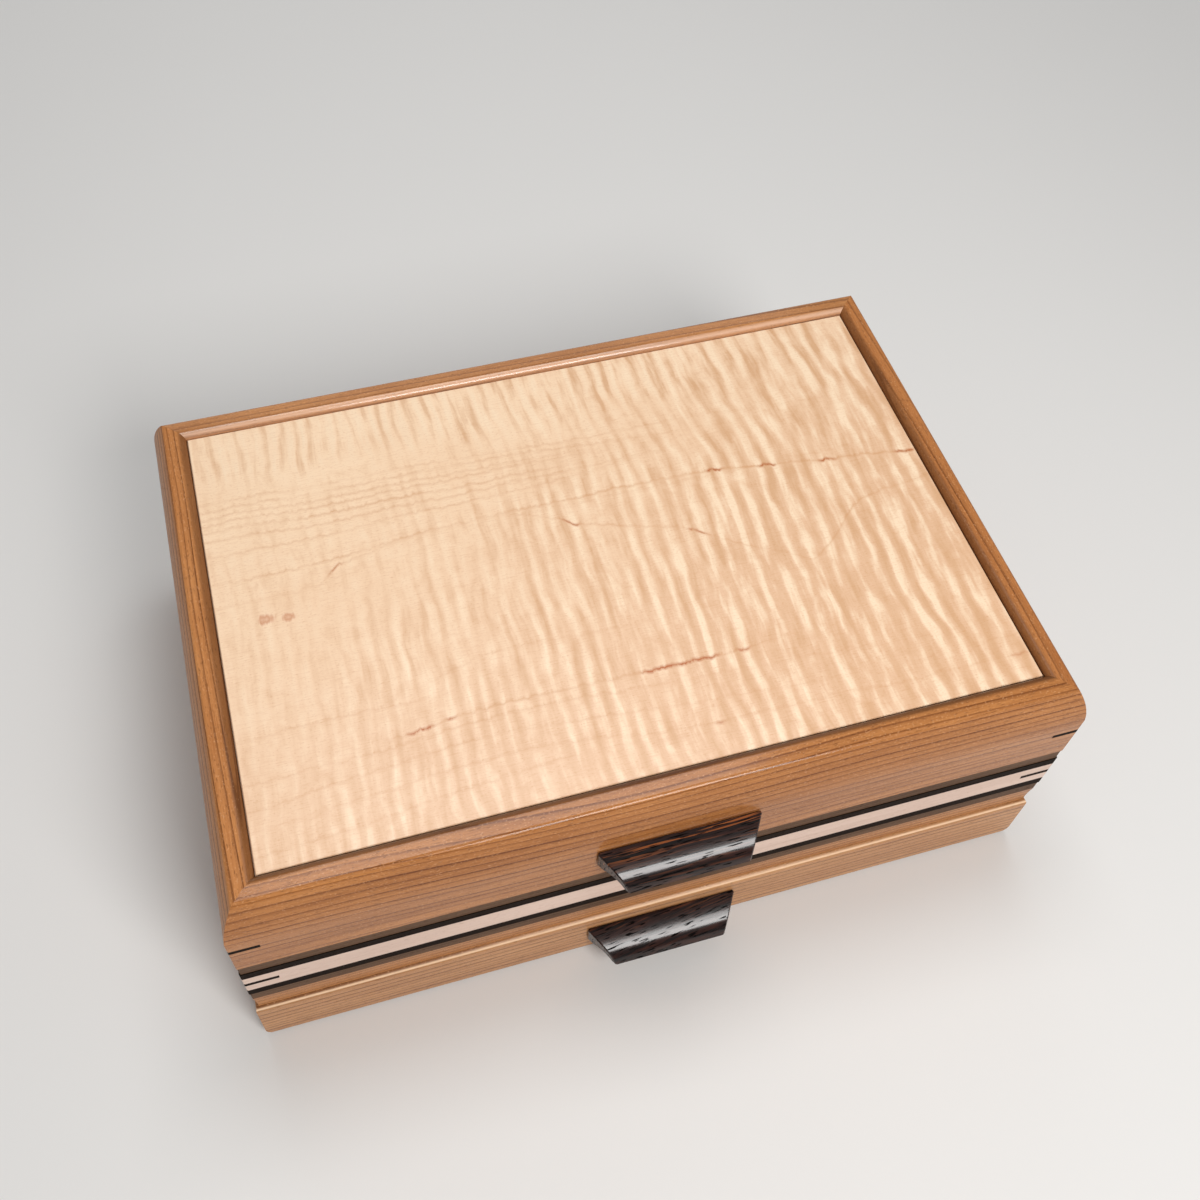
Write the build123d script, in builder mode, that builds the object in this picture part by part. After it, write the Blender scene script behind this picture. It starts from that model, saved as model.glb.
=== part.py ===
from build123d import *
import math
import os

os.makedirs("parts", exist_ok=True)

# Low hardwood jewelry chest, in millimetres.
# +X along the width, +Y to the hinge side, +Z up. The origin is the middle of the felt that it stands on.

# Case and lid seen from above
outer_width = 305.0
outer_depth = 211.0
wall = 13.9
corner_round = 0.6
trim_allowance = 1.0

# Layers of the front, counted up from the surface that the chest stands on
base_felt_thickness = 1.0
base_felt_inset = 5.0
drawer_front_height = 28.6
drawer_reveal = 0.4
header_height = 10.8
lower_walnut_height = 6.1
wenge_strip_height = 4.5
maple_band_height = 11.8
upper_walnut_height = 6.0
split_gap = 0.3
walnut_recess = 0.3

# Hand-shaped cherry below the band
cove_recess_top = 0.4
cove_recess_middle = 0.9
cove_recess_bottom = 1.0
plinth_overhang = 0.3
plinth_top_round = 1.2
plinth_bottom_round = 4.5

# Lid frame and its floating panel
lid_flat_height = 20.0
roundover_height = 19.6
roundover_reach = 5.7
crown_rise = 0.7
outer_arris_round = 2.0
inner_arris_round = 2.8
panel_thickness = 6.5
panel_below_crown = 2.3
tongue_thickness = 3.5
tongue_reach = 4.6
tongue_clearance = 0.4
panel_gap = 0.4
panel_arris = 0.3
lining_thickness = 1.0
lining_clearance = 0.4

# Splines let in across the mitres
spline_thickness = 2.2
lid_spline_leg = 10.4
band_spline_leg = 12.0
lid_spline_above_split = 16.0

# Finger pulls
pull_width = 59.6
pull_tip_width = 43.4
pull_reach = 13.4
pull_height = 8.4
pull_top_slope = 12.0
pull_crest_reach = 8.0
pull_crest_drop = 2.6
pull_end_chamfer = 0.4
pull_root_round = 0.8
pull_lip_width = 1.8
pull_cove_width = 8.0
pull_cove_depth = 1.6
lid_pull_drop = 0.0
drawer_pull_drop = 8.2

# Floors of the case
case_bottom_thickness = 5.0
case_bottom_rabbet = 6.0
floor_thickness = 3.0
floor_lip = 3.5
floor_groove_depth = 5.0
floor_clearance = 0.3

# Butt hinges
hinge_length = 32.0
hinge_inset = 57.5
hinge_leaf_thickness = 1.2
hinge_leaf_depth = 11.5
barrel_radius = 2.3
barrel_clearance = 0.2
pin_radius = 1.1
pin_running_clearance = 0.05
knuckle_count = 3
knuckle_gap = 0.15
screw_count = 2
screw_spacing = 19.0
screw_shank_radius = 0.9
screw_head_radius = 1.9
screw_length = 5.4
screw_slot_width = 0.5
screw_slot_depth = 0.4

# Drawer
drawer_front_proud = 0.6
drawer_front_gap = 0.3
drawer_front_top_arris = 2.0
drawer_front_bottom_arris = 1.0
drawer_side_thickness = 8.0
drawer_back_thickness = 8.0
drawer_side_gap = 0.6
drawer_lift = 0.4
drawer_headroom = 1.4
drawer_back_gap = 3.6
drawer_bottom_thickness = 3.0
drawer_bottom_lip = 2.6
drawer_groove_depth = 3.5
dovetail_count = 2
dovetail_width = 5.4
dovetail_flare = 0.9
front_dovetail_length = 9.0
runner_height = 6.0
runner_reach = 4.2
runner_gap = 0.25
runner_clearance = 0.4
runner_setback = 6.0
runner_lead = 1.0
drawer_divider_thickness = 4.0
drawer_divider_height = 13.0

# Sliding tray and the well below it
ledge_depth = 6.0
ledge_height = 8.0
ledge_below_case_top = 21.7
ledge_arris = 0.8
well_divider_drop = 0.8
tray_length = 136.0
tray_height = 20.4
tray_wall = 5.0
tray_side_gap = 0.6
tray_lift = 0.3
tray_bottom_thickness = 2.5
tray_bottom_lip = 1.5
tray_groove_depth = 2.5
finger_rows = 5
tray_divider_thickness = 3.2
tray_divider_height = 12.5
ring_cell_share = 0.46
ring_roll_count = 5
ring_roll_gap = 1.0
ring_roll_side_gap = 0.5
ring_roll_height = 14.6
ring_roll_tuck = 1.2
ring_roll_end_length = 12.0
ring_roll_stations = [0.0, 0.3, 1.0]
ring_roll_end_drop = 2.4
ring_roll_end_pull = 1.2
well_divider_thickness = 4.0

# Heights worked out from the layers
walls_low = base_felt_thickness
plinth_top = walls_low + drawer_front_height
header_low = plinth_top + drawer_reveal
lower_walnut_low = header_low + header_height
lower_wenge_low = lower_walnut_low + lower_walnut_height
maple_low = lower_wenge_low + wenge_strip_height
upper_wenge_low = maple_low + maple_band_height
upper_walnut_low = upper_wenge_low + wenge_strip_height
case_top = upper_walnut_low + upper_walnut_height
lid_low = case_top + split_gap
roundover_start = lid_low + lid_flat_height
arris_height = roundover_start + roundover_height
crown_height = arris_height + crown_rise
panel_top = crown_height - panel_below_crown
panel_low = panel_top - panel_thickness
tongue_top = panel_low + tongue_thickness
case_bottom_top = walls_low + case_bottom_thickness
floor_low = header_low + floor_lip
floor_top = floor_low + floor_thickness
well_floor = floor_top + lining_thickness

# Plan sizes worked out from the outer ones
inner_width = outer_width - 2 * wall
inner_depth = outer_depth - 2 * wall
front_inner = -inner_depth / 2
back_inner = inner_depth / 2
groove_floor = wall - tongue_reach - tongue_clearance
lining_width = inner_width - 2 * lining_clearance
lining_depth = inner_depth - 2 * lining_clearance

# Each side of the frame: direction that its boards run in, their length and the span across the frame
sides = {
    "front": ((-1, 0, 0), outer_width, outer_depth),
    "back": ((1, 0, 0), outer_width, outer_depth),
    "left": ((0, 1, 0), outer_depth, outer_width),
    "right": ((0, -1, 0), outer_depth, outer_width),
}


def plan_plane(side, height):
    # Local x runs along the board and local y points out of the chest.
    return Plane(origin=(0, 0, height), x_dir=sides[side][0], z_dir=(0, 0, 1))


def profile_plane(side):
    # Local x points out of the chest from its middle and local y is the height.
    run, length, _ = sides[side]
    start = Vector(*run) * (-length / 2 - trim_allowance)
    return Plane(origin=start, x_dir=Vector(0, 0, 1).cross(Vector(*run)), z_dir=run)


def mitred_outline(side, height, recess):
    # Plan outline of one board of the mitred frame, its outer face set back by recess.
    _, length, span = sides[side]
    with BuildSketch(plan_plane(side, height)) as outline:
        with BuildLine():
            Polyline(
                (-length / 2 + recess, span / 2 - recess),
                (length / 2 - recess, span / 2 - recess),
                (length / 2 - wall, span / 2 - wall),
                (-length / 2 + wall, span / 2 - wall),
                close=True,
            )
        make_face()
    return outline.sketch


def mitre_ends(side, low, high, recess):
    # Trims the profiled board being built to its mitres.
    extrude(mitred_outline(side, low, recess), amount=high - low, mode=Mode.INTERSECT)


def round_outer_corners(low, high, recess):
    # Trims the part being built to the chest's outline with softened vertical corners.
    with BuildSketch(Plane.XY.offset(low)) as outline:
        RectangleRounded(outer_width - 2 * recess, outer_depth - 2 * recess, corner_round)
    extrude(outline.sketch, amount=high - low, mode=Mode.INTERSECT)


def add_splines(leg, height, mode):
    # The four triangular splines that cross the mitres at this height, or their slots.
    with BuildSketch(Plane.XY.offset(height - spline_thickness / 2)) as outline:
        for corner_x in (-1, 1):
            for corner_y in (-1, 1):
                x = corner_x * outer_width / 2
                y = corner_y * outer_depth / 2
                with BuildLine():
                    Polyline((x, y), (x - corner_x * leg, y), (x, y - corner_y * leg), close=True)
                make_face()
    extrude(outline.sketch, amount=spline_thickness, mode=mode)


def save(part, name):
    part.label = name
    export_step(part, f"parts/{name}.step")


# Lid rails: a softened inner arris, a top that falls outwards and a broad roundover down to the flat face
lid_spline_height = lid_low + lid_spline_above_split
hinge_axis_y = outer_depth / 2 + barrel_radius + barrel_clearance
hinge_axis_z = (case_top + lid_low) / 2
hinge_front = outer_depth / 2 - hinge_leaf_depth
hinge_places = [(hinge_inset - outer_width / 2, "left"), (outer_width / 2 - hinge_inset, "right")]
screw_y = (hinge_front + outer_depth / 2) / 2
screw_offsets = [(index - (screw_count - 1) / 2) * screw_spacing for index in range(screw_count)]


def cut_hinge_mortises(low, screw_direction):
    # Mortises for both leaves, open at the back, with the screws' pilot holes.
    with BuildSketch(Plane.XY.offset(low)) as mortises:
        with Locations(*[(x, (hinge_front + outer_depth / 2 + wall) / 2) for x, _ in hinge_places]):
            Rectangle(hinge_length, outer_depth / 2 + wall - hinge_front)
    extrude(mortises.sketch, amount=hinge_leaf_thickness, mode=Mode.SUBTRACT)
    face_z = low if screw_direction > 0 else low + hinge_leaf_thickness
    with BuildSketch(Plane.XY.offset(face_z)) as pilot_holes:
        with Locations(*[(x + offset, screw_y) for x, _ in hinge_places for offset in screw_offsets]):
            Circle(screw_shank_radius)
    extrude(pilot_holes.sketch, amount=screw_direction * screw_length, mode=Mode.SUBTRACT)


for side in sides:
    _, length, span = sides[side]
    face = span / 2
    inner = face - wall
    arris = face - roundover_reach
    with BuildPart() as lid_rail:
        with BuildSketch(profile_plane(side)) as rail_profile:
            with BuildLine():
                Line((face, lid_low), (face, roundover_start))
                TangentArc((face, roundover_start), (arris, arris_height), tangent=(0, 1))
                Polyline(
                    (arris, arris_height),
                    (inner, crown_height),
                    (inner, tongue_top),
                    (face - groove_floor, tongue_top),
                    (face - groove_floor, panel_low),
                    (inner, panel_low),
                    (inner, lid_low),
                    (face, lid_low),
                )
            make_face()
            fillet(rail_profile.vertices().sort_by_distance((arris, arris_height))[0], outer_arris_round)
            fillet(rail_profile.vertices().sort_by_distance((inner, crown_height))[0], inner_arris_round)
        extrude(amount=length + 2 * trim_allowance)
        mitre_ends(side, lid_low, crown_height, 0)
        round_outer_corners(lid_low, crown_height, 0)
        add_splines(lid_spline_leg, lid_spline_height, Mode.SUBTRACT)
        if side == "back":
            cut_hinge_mortises(lid_low, 1)
    save(lid_rail.part, f"lid_rail_{side}")

# Splines across the lid's mitres and across the band's
for name, leg, height in [
    ("lid_corner_splines", lid_spline_leg, lid_spline_height),
    ("band_corner_splines", band_spline_leg, maple_low + maple_band_height / 2),
]:
    with BuildPart() as splines:
        add_splines(leg, height, Mode.ADD)
        round_outer_corners(height - spline_thickness, height + spline_thickness, 0)
    save(splines.part, name)

# Floating panel of the lid: a tongue all round, and the raised field that shows
with BuildPart() as lid_panel:
    with BuildSketch(Plane.XY.offset(panel_low)):
        Rectangle(inner_width + 2 * tongue_reach, inner_depth + 2 * tongue_reach)
    extrude(amount=tongue_thickness)
    with BuildSketch(Plane.XY.offset(tongue_top)):
        Rectangle(inner_width - 2 * panel_gap, inner_depth - 2 * panel_gap)
    extrude(amount=panel_top - tongue_top)
    chamfer(lid_panel.faces().sort_by(Axis.Z)[-1].edges(), panel_arris)
save(lid_panel.part, "lid_panel")

with BuildPart() as lid_lining:
    with BuildSketch(Plane.XY.offset(panel_low - lining_thickness)):
        Rectangle(lining_width, lining_depth)
    extrude(amount=lining_thickness)
save(lid_lining.part, "lid_lining")

# Laminated band, each layer a board with mitred ends
for side in sides:
    with BuildPart() as maple_band:
        extrude(mitred_outline(side, maple_low, 0), amount=maple_band_height)
        round_outer_corners(maple_low, upper_wenge_low, 0)
        add_splines(band_spline_leg, maple_low + maple_band_height / 2, Mode.SUBTRACT)
    save(maple_band.part, f"maple_band_{side}")

    with BuildPart() as wenge_strips:
        extrude(mitred_outline(side, lower_wenge_low, 0), amount=wenge_strip_height)
        extrude(mitred_outline(side, upper_wenge_low, 0), amount=wenge_strip_height)
        round_outer_corners(lower_wenge_low, upper_walnut_low, 0)
    save(wenge_strips.part, f"wenge_strips_{side}")

    with BuildPart() as walnut_strips:
        extrude(mitred_outline(side, lower_walnut_low, walnut_recess), amount=lower_walnut_height)
        extrude(mitred_outline(side, upper_walnut_low, walnut_recess), amount=upper_walnut_height)
        round_outer_corners(lower_walnut_low, case_top, walnut_recess)
        if side == "back":
            cut_hinge_mortises(case_top - hinge_leaf_thickness, -1)
    save(walnut_strips.part, f"walnut_strips_{side}")


# Cherry boards below the band: a header over the drawer, and three full walls with a plinth round their foot
def cove_line(face, low):
    ThreePointArc(
        (face - cove_recess_bottom, low),
        (face - cove_recess_middle, (low + lower_walnut_low) / 2),
        (face - cove_recess_top, lower_walnut_low),
    )


header_face = outer_depth / 2
with BuildPart() as header:
    with BuildSketch(profile_plane("front")):
        with BuildLine():
            cove_line(header_face, header_low)
            Polyline(
                (header_face - cove_recess_top, lower_walnut_low),
                (header_face - wall, lower_walnut_low),
                (header_face - wall, floor_top),
                (header_face - wall + floor_groove_depth, floor_top),
                (header_face - wall + floor_groove_depth, floor_low),
                (header_face - wall, floor_low),
                (header_face - wall, header_low),
                (header_face - cove_recess_bottom, header_low),
            )
        make_face()
    extrude(amount=outer_width + 2 * trim_allowance)
    mitre_ends("front", header_low, lower_walnut_low, 0)
save(header.part, "case_header_front")

for side in ("back", "left", "right"):
    _, length, span = sides[side]
    face = span / 2
    inner = face - wall
    foot = face + plinth_overhang
    with BuildPart() as case_wall:
        with BuildSketch(profile_plane(side)) as wall_profile:
            with BuildLine():
                cove_line(face, plinth_top)
                Polyline(
                    (face - cove_recess_top, lower_walnut_low),
                    (inner, lower_walnut_low),
                    (inner, floor_top),
                    (inner + floor_groove_depth, floor_top),
                    (inner + floor_groove_depth, floor_low),
                    (inner, floor_low),
                    (inner, case_bottom_top),
                    (inner + case_bottom_rabbet, case_bottom_top),
                    (inner + case_bottom_rabbet, walls_low),
                    (foot, walls_low),
                    (foot, plinth_top),
                    (face - cove_recess_bottom, plinth_top),
                )
            make_face()
            fillet(wall_profile.vertices().sort_by_distance((foot, walls_low))[0], plinth_bottom_round)
            fillet(wall_profile.vertices().sort_by_distance((foot, plinth_top))[0], plinth_top_round)
        extrude(amount=length + 2 * trim_allowance)
        mitre_ends(side, walls_low, lower_walnut_low, -plinth_overhang)
        round_outer_corners(walls_low, lower_walnut_low, -plinth_overhang)
        if side != "back":
            # The drawer front closes over the square front end of this wall.
            with BuildSketch(Plane.XY.offset(walls_low)):
                with Locations((0, front_inner - wall)):
                    Rectangle(outer_width + 2 * wall, 2 * wall)
            extrude(amount=header_low - walls_low, mode=Mode.SUBTRACT)
    save(case_wall.part, f"case_wall_{side}")

# Floors, linings and the felt under the chest
with BuildPart() as compartment_floor:
    with BuildSketch(Plane.XY.offset(floor_low)):
        Rectangle(
            inner_width + 2 * (floor_groove_depth - floor_clearance),
            inner_depth + 2 * (floor_groove_depth - floor_clearance),
        )
    extrude(amount=floor_thickness)
save(compartment_floor.part, "compartment_floor")

with BuildPart() as compartment_lining:
    with BuildSketch(Plane.XY.offset(floor_top)):
        Rectangle(lining_width, lining_depth)
    extrude(amount=lining_thickness)
save(compartment_lining.part, "compartment_lining")

with BuildPart() as case_bottom:
    with BuildSketch(Plane.XY.offset(walls_low)):
        with Locations((0, case_bottom_rabbet / 2)):
            Rectangle(inner_width + 2 * case_bottom_rabbet, inner_depth + case_bottom_rabbet)
    extrude(amount=case_bottom_thickness)
save(case_bottom.part, "case_bottom")

felt_back = outer_depth / 2 - base_felt_inset
with BuildPart() as base_felt:
    with BuildSketch(Plane.XY):
        with Locations((0, (front_inner + felt_back) / 2)):
            Rectangle(outer_width - 2 * base_felt_inset, felt_back - front_inner)
    extrude(amount=base_felt_thickness)
save(base_felt.part, "base_felt")

# Ledges that carry the tray, and the divider of the well below it
ledge_top = case_top - ledge_below_case_top
for name, wall_y, inward in [("front", front_inner, 1), ("back", back_inner, -1)]:
    with BuildPart() as tray_ledge:
        with BuildSketch(Plane.XY.offset(ledge_top - ledge_height)):
            with Locations((0, wall_y + inward * ledge_depth / 2)):
                Rectangle(inner_width, ledge_depth)
        extrude(amount=ledge_height)
        inner_edges = tray_ledge.edges().filter_by(Axis.X).sort_by(Axis.Y)
        fillet(inner_edges[-2:] if inward > 0 else inner_edges[:2], ledge_arris)
    save(tray_ledge.part, f"tray_ledge_{name}")

with BuildPart() as well_divider:
    with BuildSketch(Plane.XY.offset(well_floor)):
        Rectangle(well_divider_thickness, inner_depth - 2 * ledge_depth)
    extrude(amount=ledge_top - well_divider_drop - well_floor)
save(well_divider.part, "well_divider")

# Runners that the drawer's grooved sides hang on
drawer_low = case_bottom_top + drawer_lift
drawer_top = header_low - drawer_headroom
drawer_height = drawer_top - drawer_low
runner_middle = (drawer_low + drawer_top) / 2
runner_length = inner_depth - runner_setback
for name, outward in [("left", -1), ("right", 1)]:
    with BuildPart() as drawer_runner:
        with BuildSketch(Plane.XY.offset(runner_middle - runner_height / 2)):
            with Locations((outward * (inner_width - runner_reach) / 2, back_inner - runner_length / 2)):
                Rectangle(runner_reach, runner_length)
        extrude(amount=runner_height)
        front_face = drawer_runner.faces().sort_by(Axis.Y)[0]
        chamfer(front_face.edges().filter_by(Axis.X), runner_lead)
    save(drawer_runner.part, f"drawer_runner_{name}")

# Butt hinges: leaves let into the split, with knuckles that take turns along the pin
knuckle_length = hinge_length / knuckle_count


def axis_plane(start_x):
    return Plane(origin=(start_x, hinge_axis_y, hinge_axis_z), x_dir=(0, 1, 0), z_dir=(1, 0, 0))


def hinge_leaf(hinge_x, low, sinks_up, own_knuckles, bore_radius):
    start_x = hinge_x - hinge_length / 2
    with BuildPart() as leaf:
        with BuildSketch(Plane.XY.offset(low)):
            with Locations((hinge_x, (hinge_front + hinge_axis_y) / 2)):
                Rectangle(hinge_length, hinge_axis_y - hinge_front)
        extrude(amount=hinge_leaf_thickness)
        for index in range(knuckle_count):
            if index not in own_knuckles:
                with BuildSketch(axis_plane(start_x + index * knuckle_length)):
                    Circle(barrel_radius + barrel_clearance)
                extrude(amount=knuckle_length, mode=Mode.SUBTRACT)
        for index in own_knuckles:
            with BuildSketch(axis_plane(start_x + index * knuckle_length + knuckle_gap)):
                Circle(barrel_radius)
            extrude(amount=knuckle_length - 2 * knuckle_gap)
        with BuildSketch(axis_plane(start_x)):
            Circle(bore_radius)
        extrude(amount=hinge_length, mode=Mode.SUBTRACT)
        for offset in screw_offsets:
            seat = Plane(
                origin=(hinge_x + offset, screw_y, lid_low if sinks_up else case_top),
                x_dir=(1, 0, 0),
                z_dir=(0, 0, -1 if sinks_up else 1),
            )
            with Locations(seat):
                CounterSinkHole(screw_shank_radius, screw_head_radius, hinge_leaf_thickness * 2, 90)
    return leaf.part


case_knuckles = list(range(0, knuckle_count, 2))
lid_knuckles = list(range(1, knuckle_count, 2))
for hinge_x, name in hinge_places:
    lid_leaf = hinge_leaf(hinge_x, lid_low, True, lid_knuckles, pin_radius + pin_running_clearance)
    save(lid_leaf, f"hinge_leaf_lid_{name}")
    case_leaf = hinge_leaf(hinge_x, case_top - hinge_leaf_thickness, False, case_knuckles, pin_radius)
    save(case_leaf, f"hinge_leaf_case_{name}")

with BuildPart() as hinge_pins:
    for hinge_x, _ in hinge_places:
        with BuildSketch(axis_plane(hinge_x - hinge_length / 2)):
            Circle(pin_radius)
        extrude(amount=hinge_length)
save(hinge_pins.part, "hinge_pins")


def hinge_screws(face_z, direction):
    # Countersunk screws, their heads flush with the leaf and their shanks towards direction.
    with BuildPart() as screws:
        for hinge_x, _ in hinge_places:
            for offset in screw_offsets:
                x = hinge_x + offset
                place = Plane(origin=(x, screw_y, face_z), x_dir=(1, 0, 0), z_dir=(0, -direction, 0))
                with BuildSketch(place):
                    with BuildLine():
                        Polyline(
                            (0, 0),
                            (screw_head_radius, 0),
                            (screw_shank_radius, screw_head_radius - screw_shank_radius),
                            (screw_shank_radius, screw_length),
                            (0, screw_length),
                            close=True,
                        )
                    make_face()
                revolve(axis=Axis((x, screw_y, face_z), (0, 0, 1)))
        with BuildSketch(Plane.XY.offset(face_z)):
            with Locations(*[(x + offset, screw_y) for x, _ in hinge_places for offset in screw_offsets]):
                Rectangle(2 * screw_head_radius, screw_slot_width)
        extrude(amount=direction * screw_slot_depth, mode=Mode.SUBTRACT)
    return screws.part


save(hinge_screws(lid_low, 1), "hinge_screws_lid")
save(hinge_screws(case_top, -1), "hinge_screws_case")


# Finger pulls: a bulged lip with splayed ends and a cove for the fingertips below
def finger_pull(face_y, top_z):
    cove_outer = pull_reach - pull_lip_width
    cove_inner = cove_outer - pull_cove_width
    end_plane = Plane(origin=(-pull_width / 2, face_y, top_z), x_dir=(0, -1, 0), z_dir=(-1, 0, 0))
    with BuildPart() as pull:
        with BuildSketch(end_plane):
            with BuildLine():
                slope = math.radians(pull_top_slope)
                start = (math.cos(slope), -math.sin(slope))
                top = TangentArc((0, 0), (pull_crest_reach, -pull_crest_drop), tangent=start)
                TangentArc(top @ 1, (pull_reach, -pull_height), tangent=top % 1)
                Line((pull_reach, -pull_height), (cove_outer, -pull_height))
                ThreePointArc(
                    (cove_outer, -pull_height),
                    ((cove_outer + cove_inner) / 2, -pull_height + pull_cove_depth),
                    (cove_inner, -pull_height),
                )
                Polyline((cove_inner, -pull_height), (0, -pull_height), (0, 0))
            make_face()
        extrude(amount=-pull_width)
        with BuildSketch(Plane.XY.offset(top_z - pull_height)) as plan:
            with BuildLine():
                Polyline(
                    (-pull_width / 2, face_y),
                    (-pull_tip_width / 2, face_y - pull_reach),
                    (pull_tip_width / 2, face_y - pull_reach),
                    (pull_width / 2, face_y),
                    close=True,
                )
            make_face()
            fillet(plan.vertices().sort_by(Axis.Y)[-2:], pull_root_round)
        extrude(amount=pull_height, mode=Mode.INTERSECT)
        splayed_ends = pull.faces().filter_by(lambda face: abs(face.normal_at().X) > 0.5)
        chamfer(splayed_ends.edges().filter_by(GeomType.ELLIPSE).sort_by(Axis.Z)[-4:], pull_end_chamfer)
    return pull.part


save(finger_pull(-outer_depth / 2, roundover_start - lid_pull_drop), "lid_pull")

# Drawer: a front that laps the chest's sides, half-blind dovetails in front and through dovetails behind
drawer_front_face = -outer_depth / 2 - drawer_front_proud
drawer_front_back = front_inner - drawer_front_gap
drawer_side_outer = inner_width / 2 - drawer_side_gap
drawer_side_inner = drawer_side_outer - drawer_side_thickness
drawer_back_outer = back_inner - drawer_back_gap
drawer_back_inner = drawer_back_outer - drawer_back_thickness
drawer_bottom_low = drawer_low + drawer_bottom_lip
drawer_bottom_top = drawer_bottom_low + drawer_bottom_thickness
drawer_length = drawer_back_inner - drawer_front_back
drawer_middle_y = (drawer_back_inner + drawer_front_back) / 2
runner_front = back_inner - runner_length


def drawer_box(grow, low, height, mode):
    # Block over the drawer's inside in plan, grown on all four sides.
    with BuildSketch(Plane.XY.offset(low)) as outline:
        with Locations((0, drawer_middle_y)):
            Rectangle(2 * (drawer_side_inner + grow), drawer_length + 2 * grow)
    extrude(outline.sketch, amount=height, mode=mode)


def add_tails(side_sign, mode):
    # Tails at both ends of a drawer side, or the sockets that they fill.
    x = side_sign * (drawer_side_inner if side_sign > 0 else drawer_side_outer)
    with BuildSketch(Plane(origin=(x, 0, 0), x_dir=(0, 1, 0), z_dir=(1, 0, 0))) as tails:
        for index in range(dovetail_count):
            z = drawer_low + drawer_height * (index + 0.5) / dovetail_count
            for root, tip in [
                (drawer_front_back, drawer_front_back - front_dovetail_length),
                (drawer_back_inner, drawer_back_outer),
            ]:
                with BuildLine():
                    Polyline(
                        (root, z - dovetail_width / 2),
                        (tip, z - dovetail_width / 2 - dovetail_flare),
                        (tip, z + dovetail_width / 2 + dovetail_flare),
                        (root, z + dovetail_width / 2),
                        close=True,
                    )
                make_face()
    extrude(tails.sketch, amount=drawer_side_thickness, mode=mode)


def cut_runner_grooves():
    # Grooves for the runners in the outside of the drawer, open at its back.
    groove_width = 2 * (inner_width / 2 - runner_reach - runner_gap)
    groove_height = runner_height + runner_clearance
    groove_front = runner_front - runner_clearance
    with BuildSketch(Plane.XY.offset(runner_middle - groove_height / 2)) as grooves:
        with Locations((0, (groove_front + back_inner) / 2)):
            Rectangle(outer_width, back_inner - groove_front)
            Rectangle(groove_width, back_inner - groove_front, mode=Mode.SUBTRACT)
    extrude(grooves.sketch, amount=groove_height, mode=Mode.SUBTRACT)


front_plane = Plane(origin=(0, drawer_front_back, 0), x_dir=(1, 0, 0), z_dir=(0, -1, 0))
end_plane = Plane(origin=(-outer_width, 0, 0), x_dir=(0, 1, 0), z_dir=(1, 0, 0))
with BuildPart() as drawer_front:
    with BuildSketch(front_plane) as front_view:
        with Locations((0, walls_low + drawer_front_height / 2)):
            Rectangle(outer_width + 2 * plinth_overhang, drawer_front_height)
        fillet(front_view.vertices().sort_by(Axis.Y)[:2], plinth_bottom_round)
        fillet(front_view.vertices().sort_by(Axis.Y)[-2:], plinth_top_round)
    extrude(amount=drawer_front_back - drawer_front_face)
    with BuildSketch(end_plane) as side_view:
        with Locations(((drawer_front_face + drawer_front_back) / 2, walls_low + drawer_front_height / 2)):
            Rectangle(drawer_front_back - drawer_front_face, drawer_front_height)
        top_corner = side_view.vertices().sort_by_distance((drawer_front_face, plinth_top))[0]
        fillet(top_corner, drawer_front_top_arris)
        bottom_corner = side_view.vertices().sort_by_distance((drawer_front_face, walls_low))[0]
        fillet(bottom_corner, drawer_front_bottom_arris)
    extrude(amount=2 * outer_width, mode=Mode.INTERSECT)
    add_tails(-1, Mode.SUBTRACT)
    add_tails(1, Mode.SUBTRACT)
    drawer_box(drawer_groove_depth, drawer_bottom_low, drawer_bottom_thickness, Mode.SUBTRACT)
save(drawer_front.part, "drawer_front")

for name, outward in [("left", -1), ("right", 1)]:
    with BuildPart() as drawer_side:
        with BuildSketch(Plane.XY.offset(drawer_low)):
            with Locations((outward * (drawer_side_inner + drawer_side_outer) / 2, drawer_middle_y)):
                Rectangle(drawer_side_thickness, drawer_length)
        extrude(amount=drawer_height)
        add_tails(outward, Mode.ADD)
        drawer_box(drawer_groove_depth, drawer_bottom_low, drawer_bottom_thickness, Mode.SUBTRACT)
        cut_runner_grooves()
    save(drawer_side.part, f"drawer_side_{name}")

with BuildPart() as drawer_back:
    with BuildSketch(Plane.XY.offset(drawer_low)):
        with Locations((0, (drawer_back_inner + drawer_back_outer) / 2)):
            Rectangle(2 * drawer_side_outer, drawer_back_thickness)
    extrude(amount=drawer_height)
    add_tails(-1, Mode.SUBTRACT)
    add_tails(1, Mode.SUBTRACT)
    drawer_box(drawer_groove_depth, drawer_bottom_low, drawer_bottom_thickness, Mode.SUBTRACT)
    cut_runner_grooves()
save(drawer_back.part, "drawer_back")

with BuildPart() as drawer_bottom:
    drawer_box(drawer_groove_depth - floor_clearance, drawer_bottom_low, drawer_bottom_thickness, Mode.ADD)
save(drawer_bottom.part, "drawer_bottom")

with BuildPart() as drawer_lining:
    drawer_box(-lining_clearance, drawer_bottom_top, lining_thickness, Mode.ADD)
save(drawer_lining.part, "drawer_lining")

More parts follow.
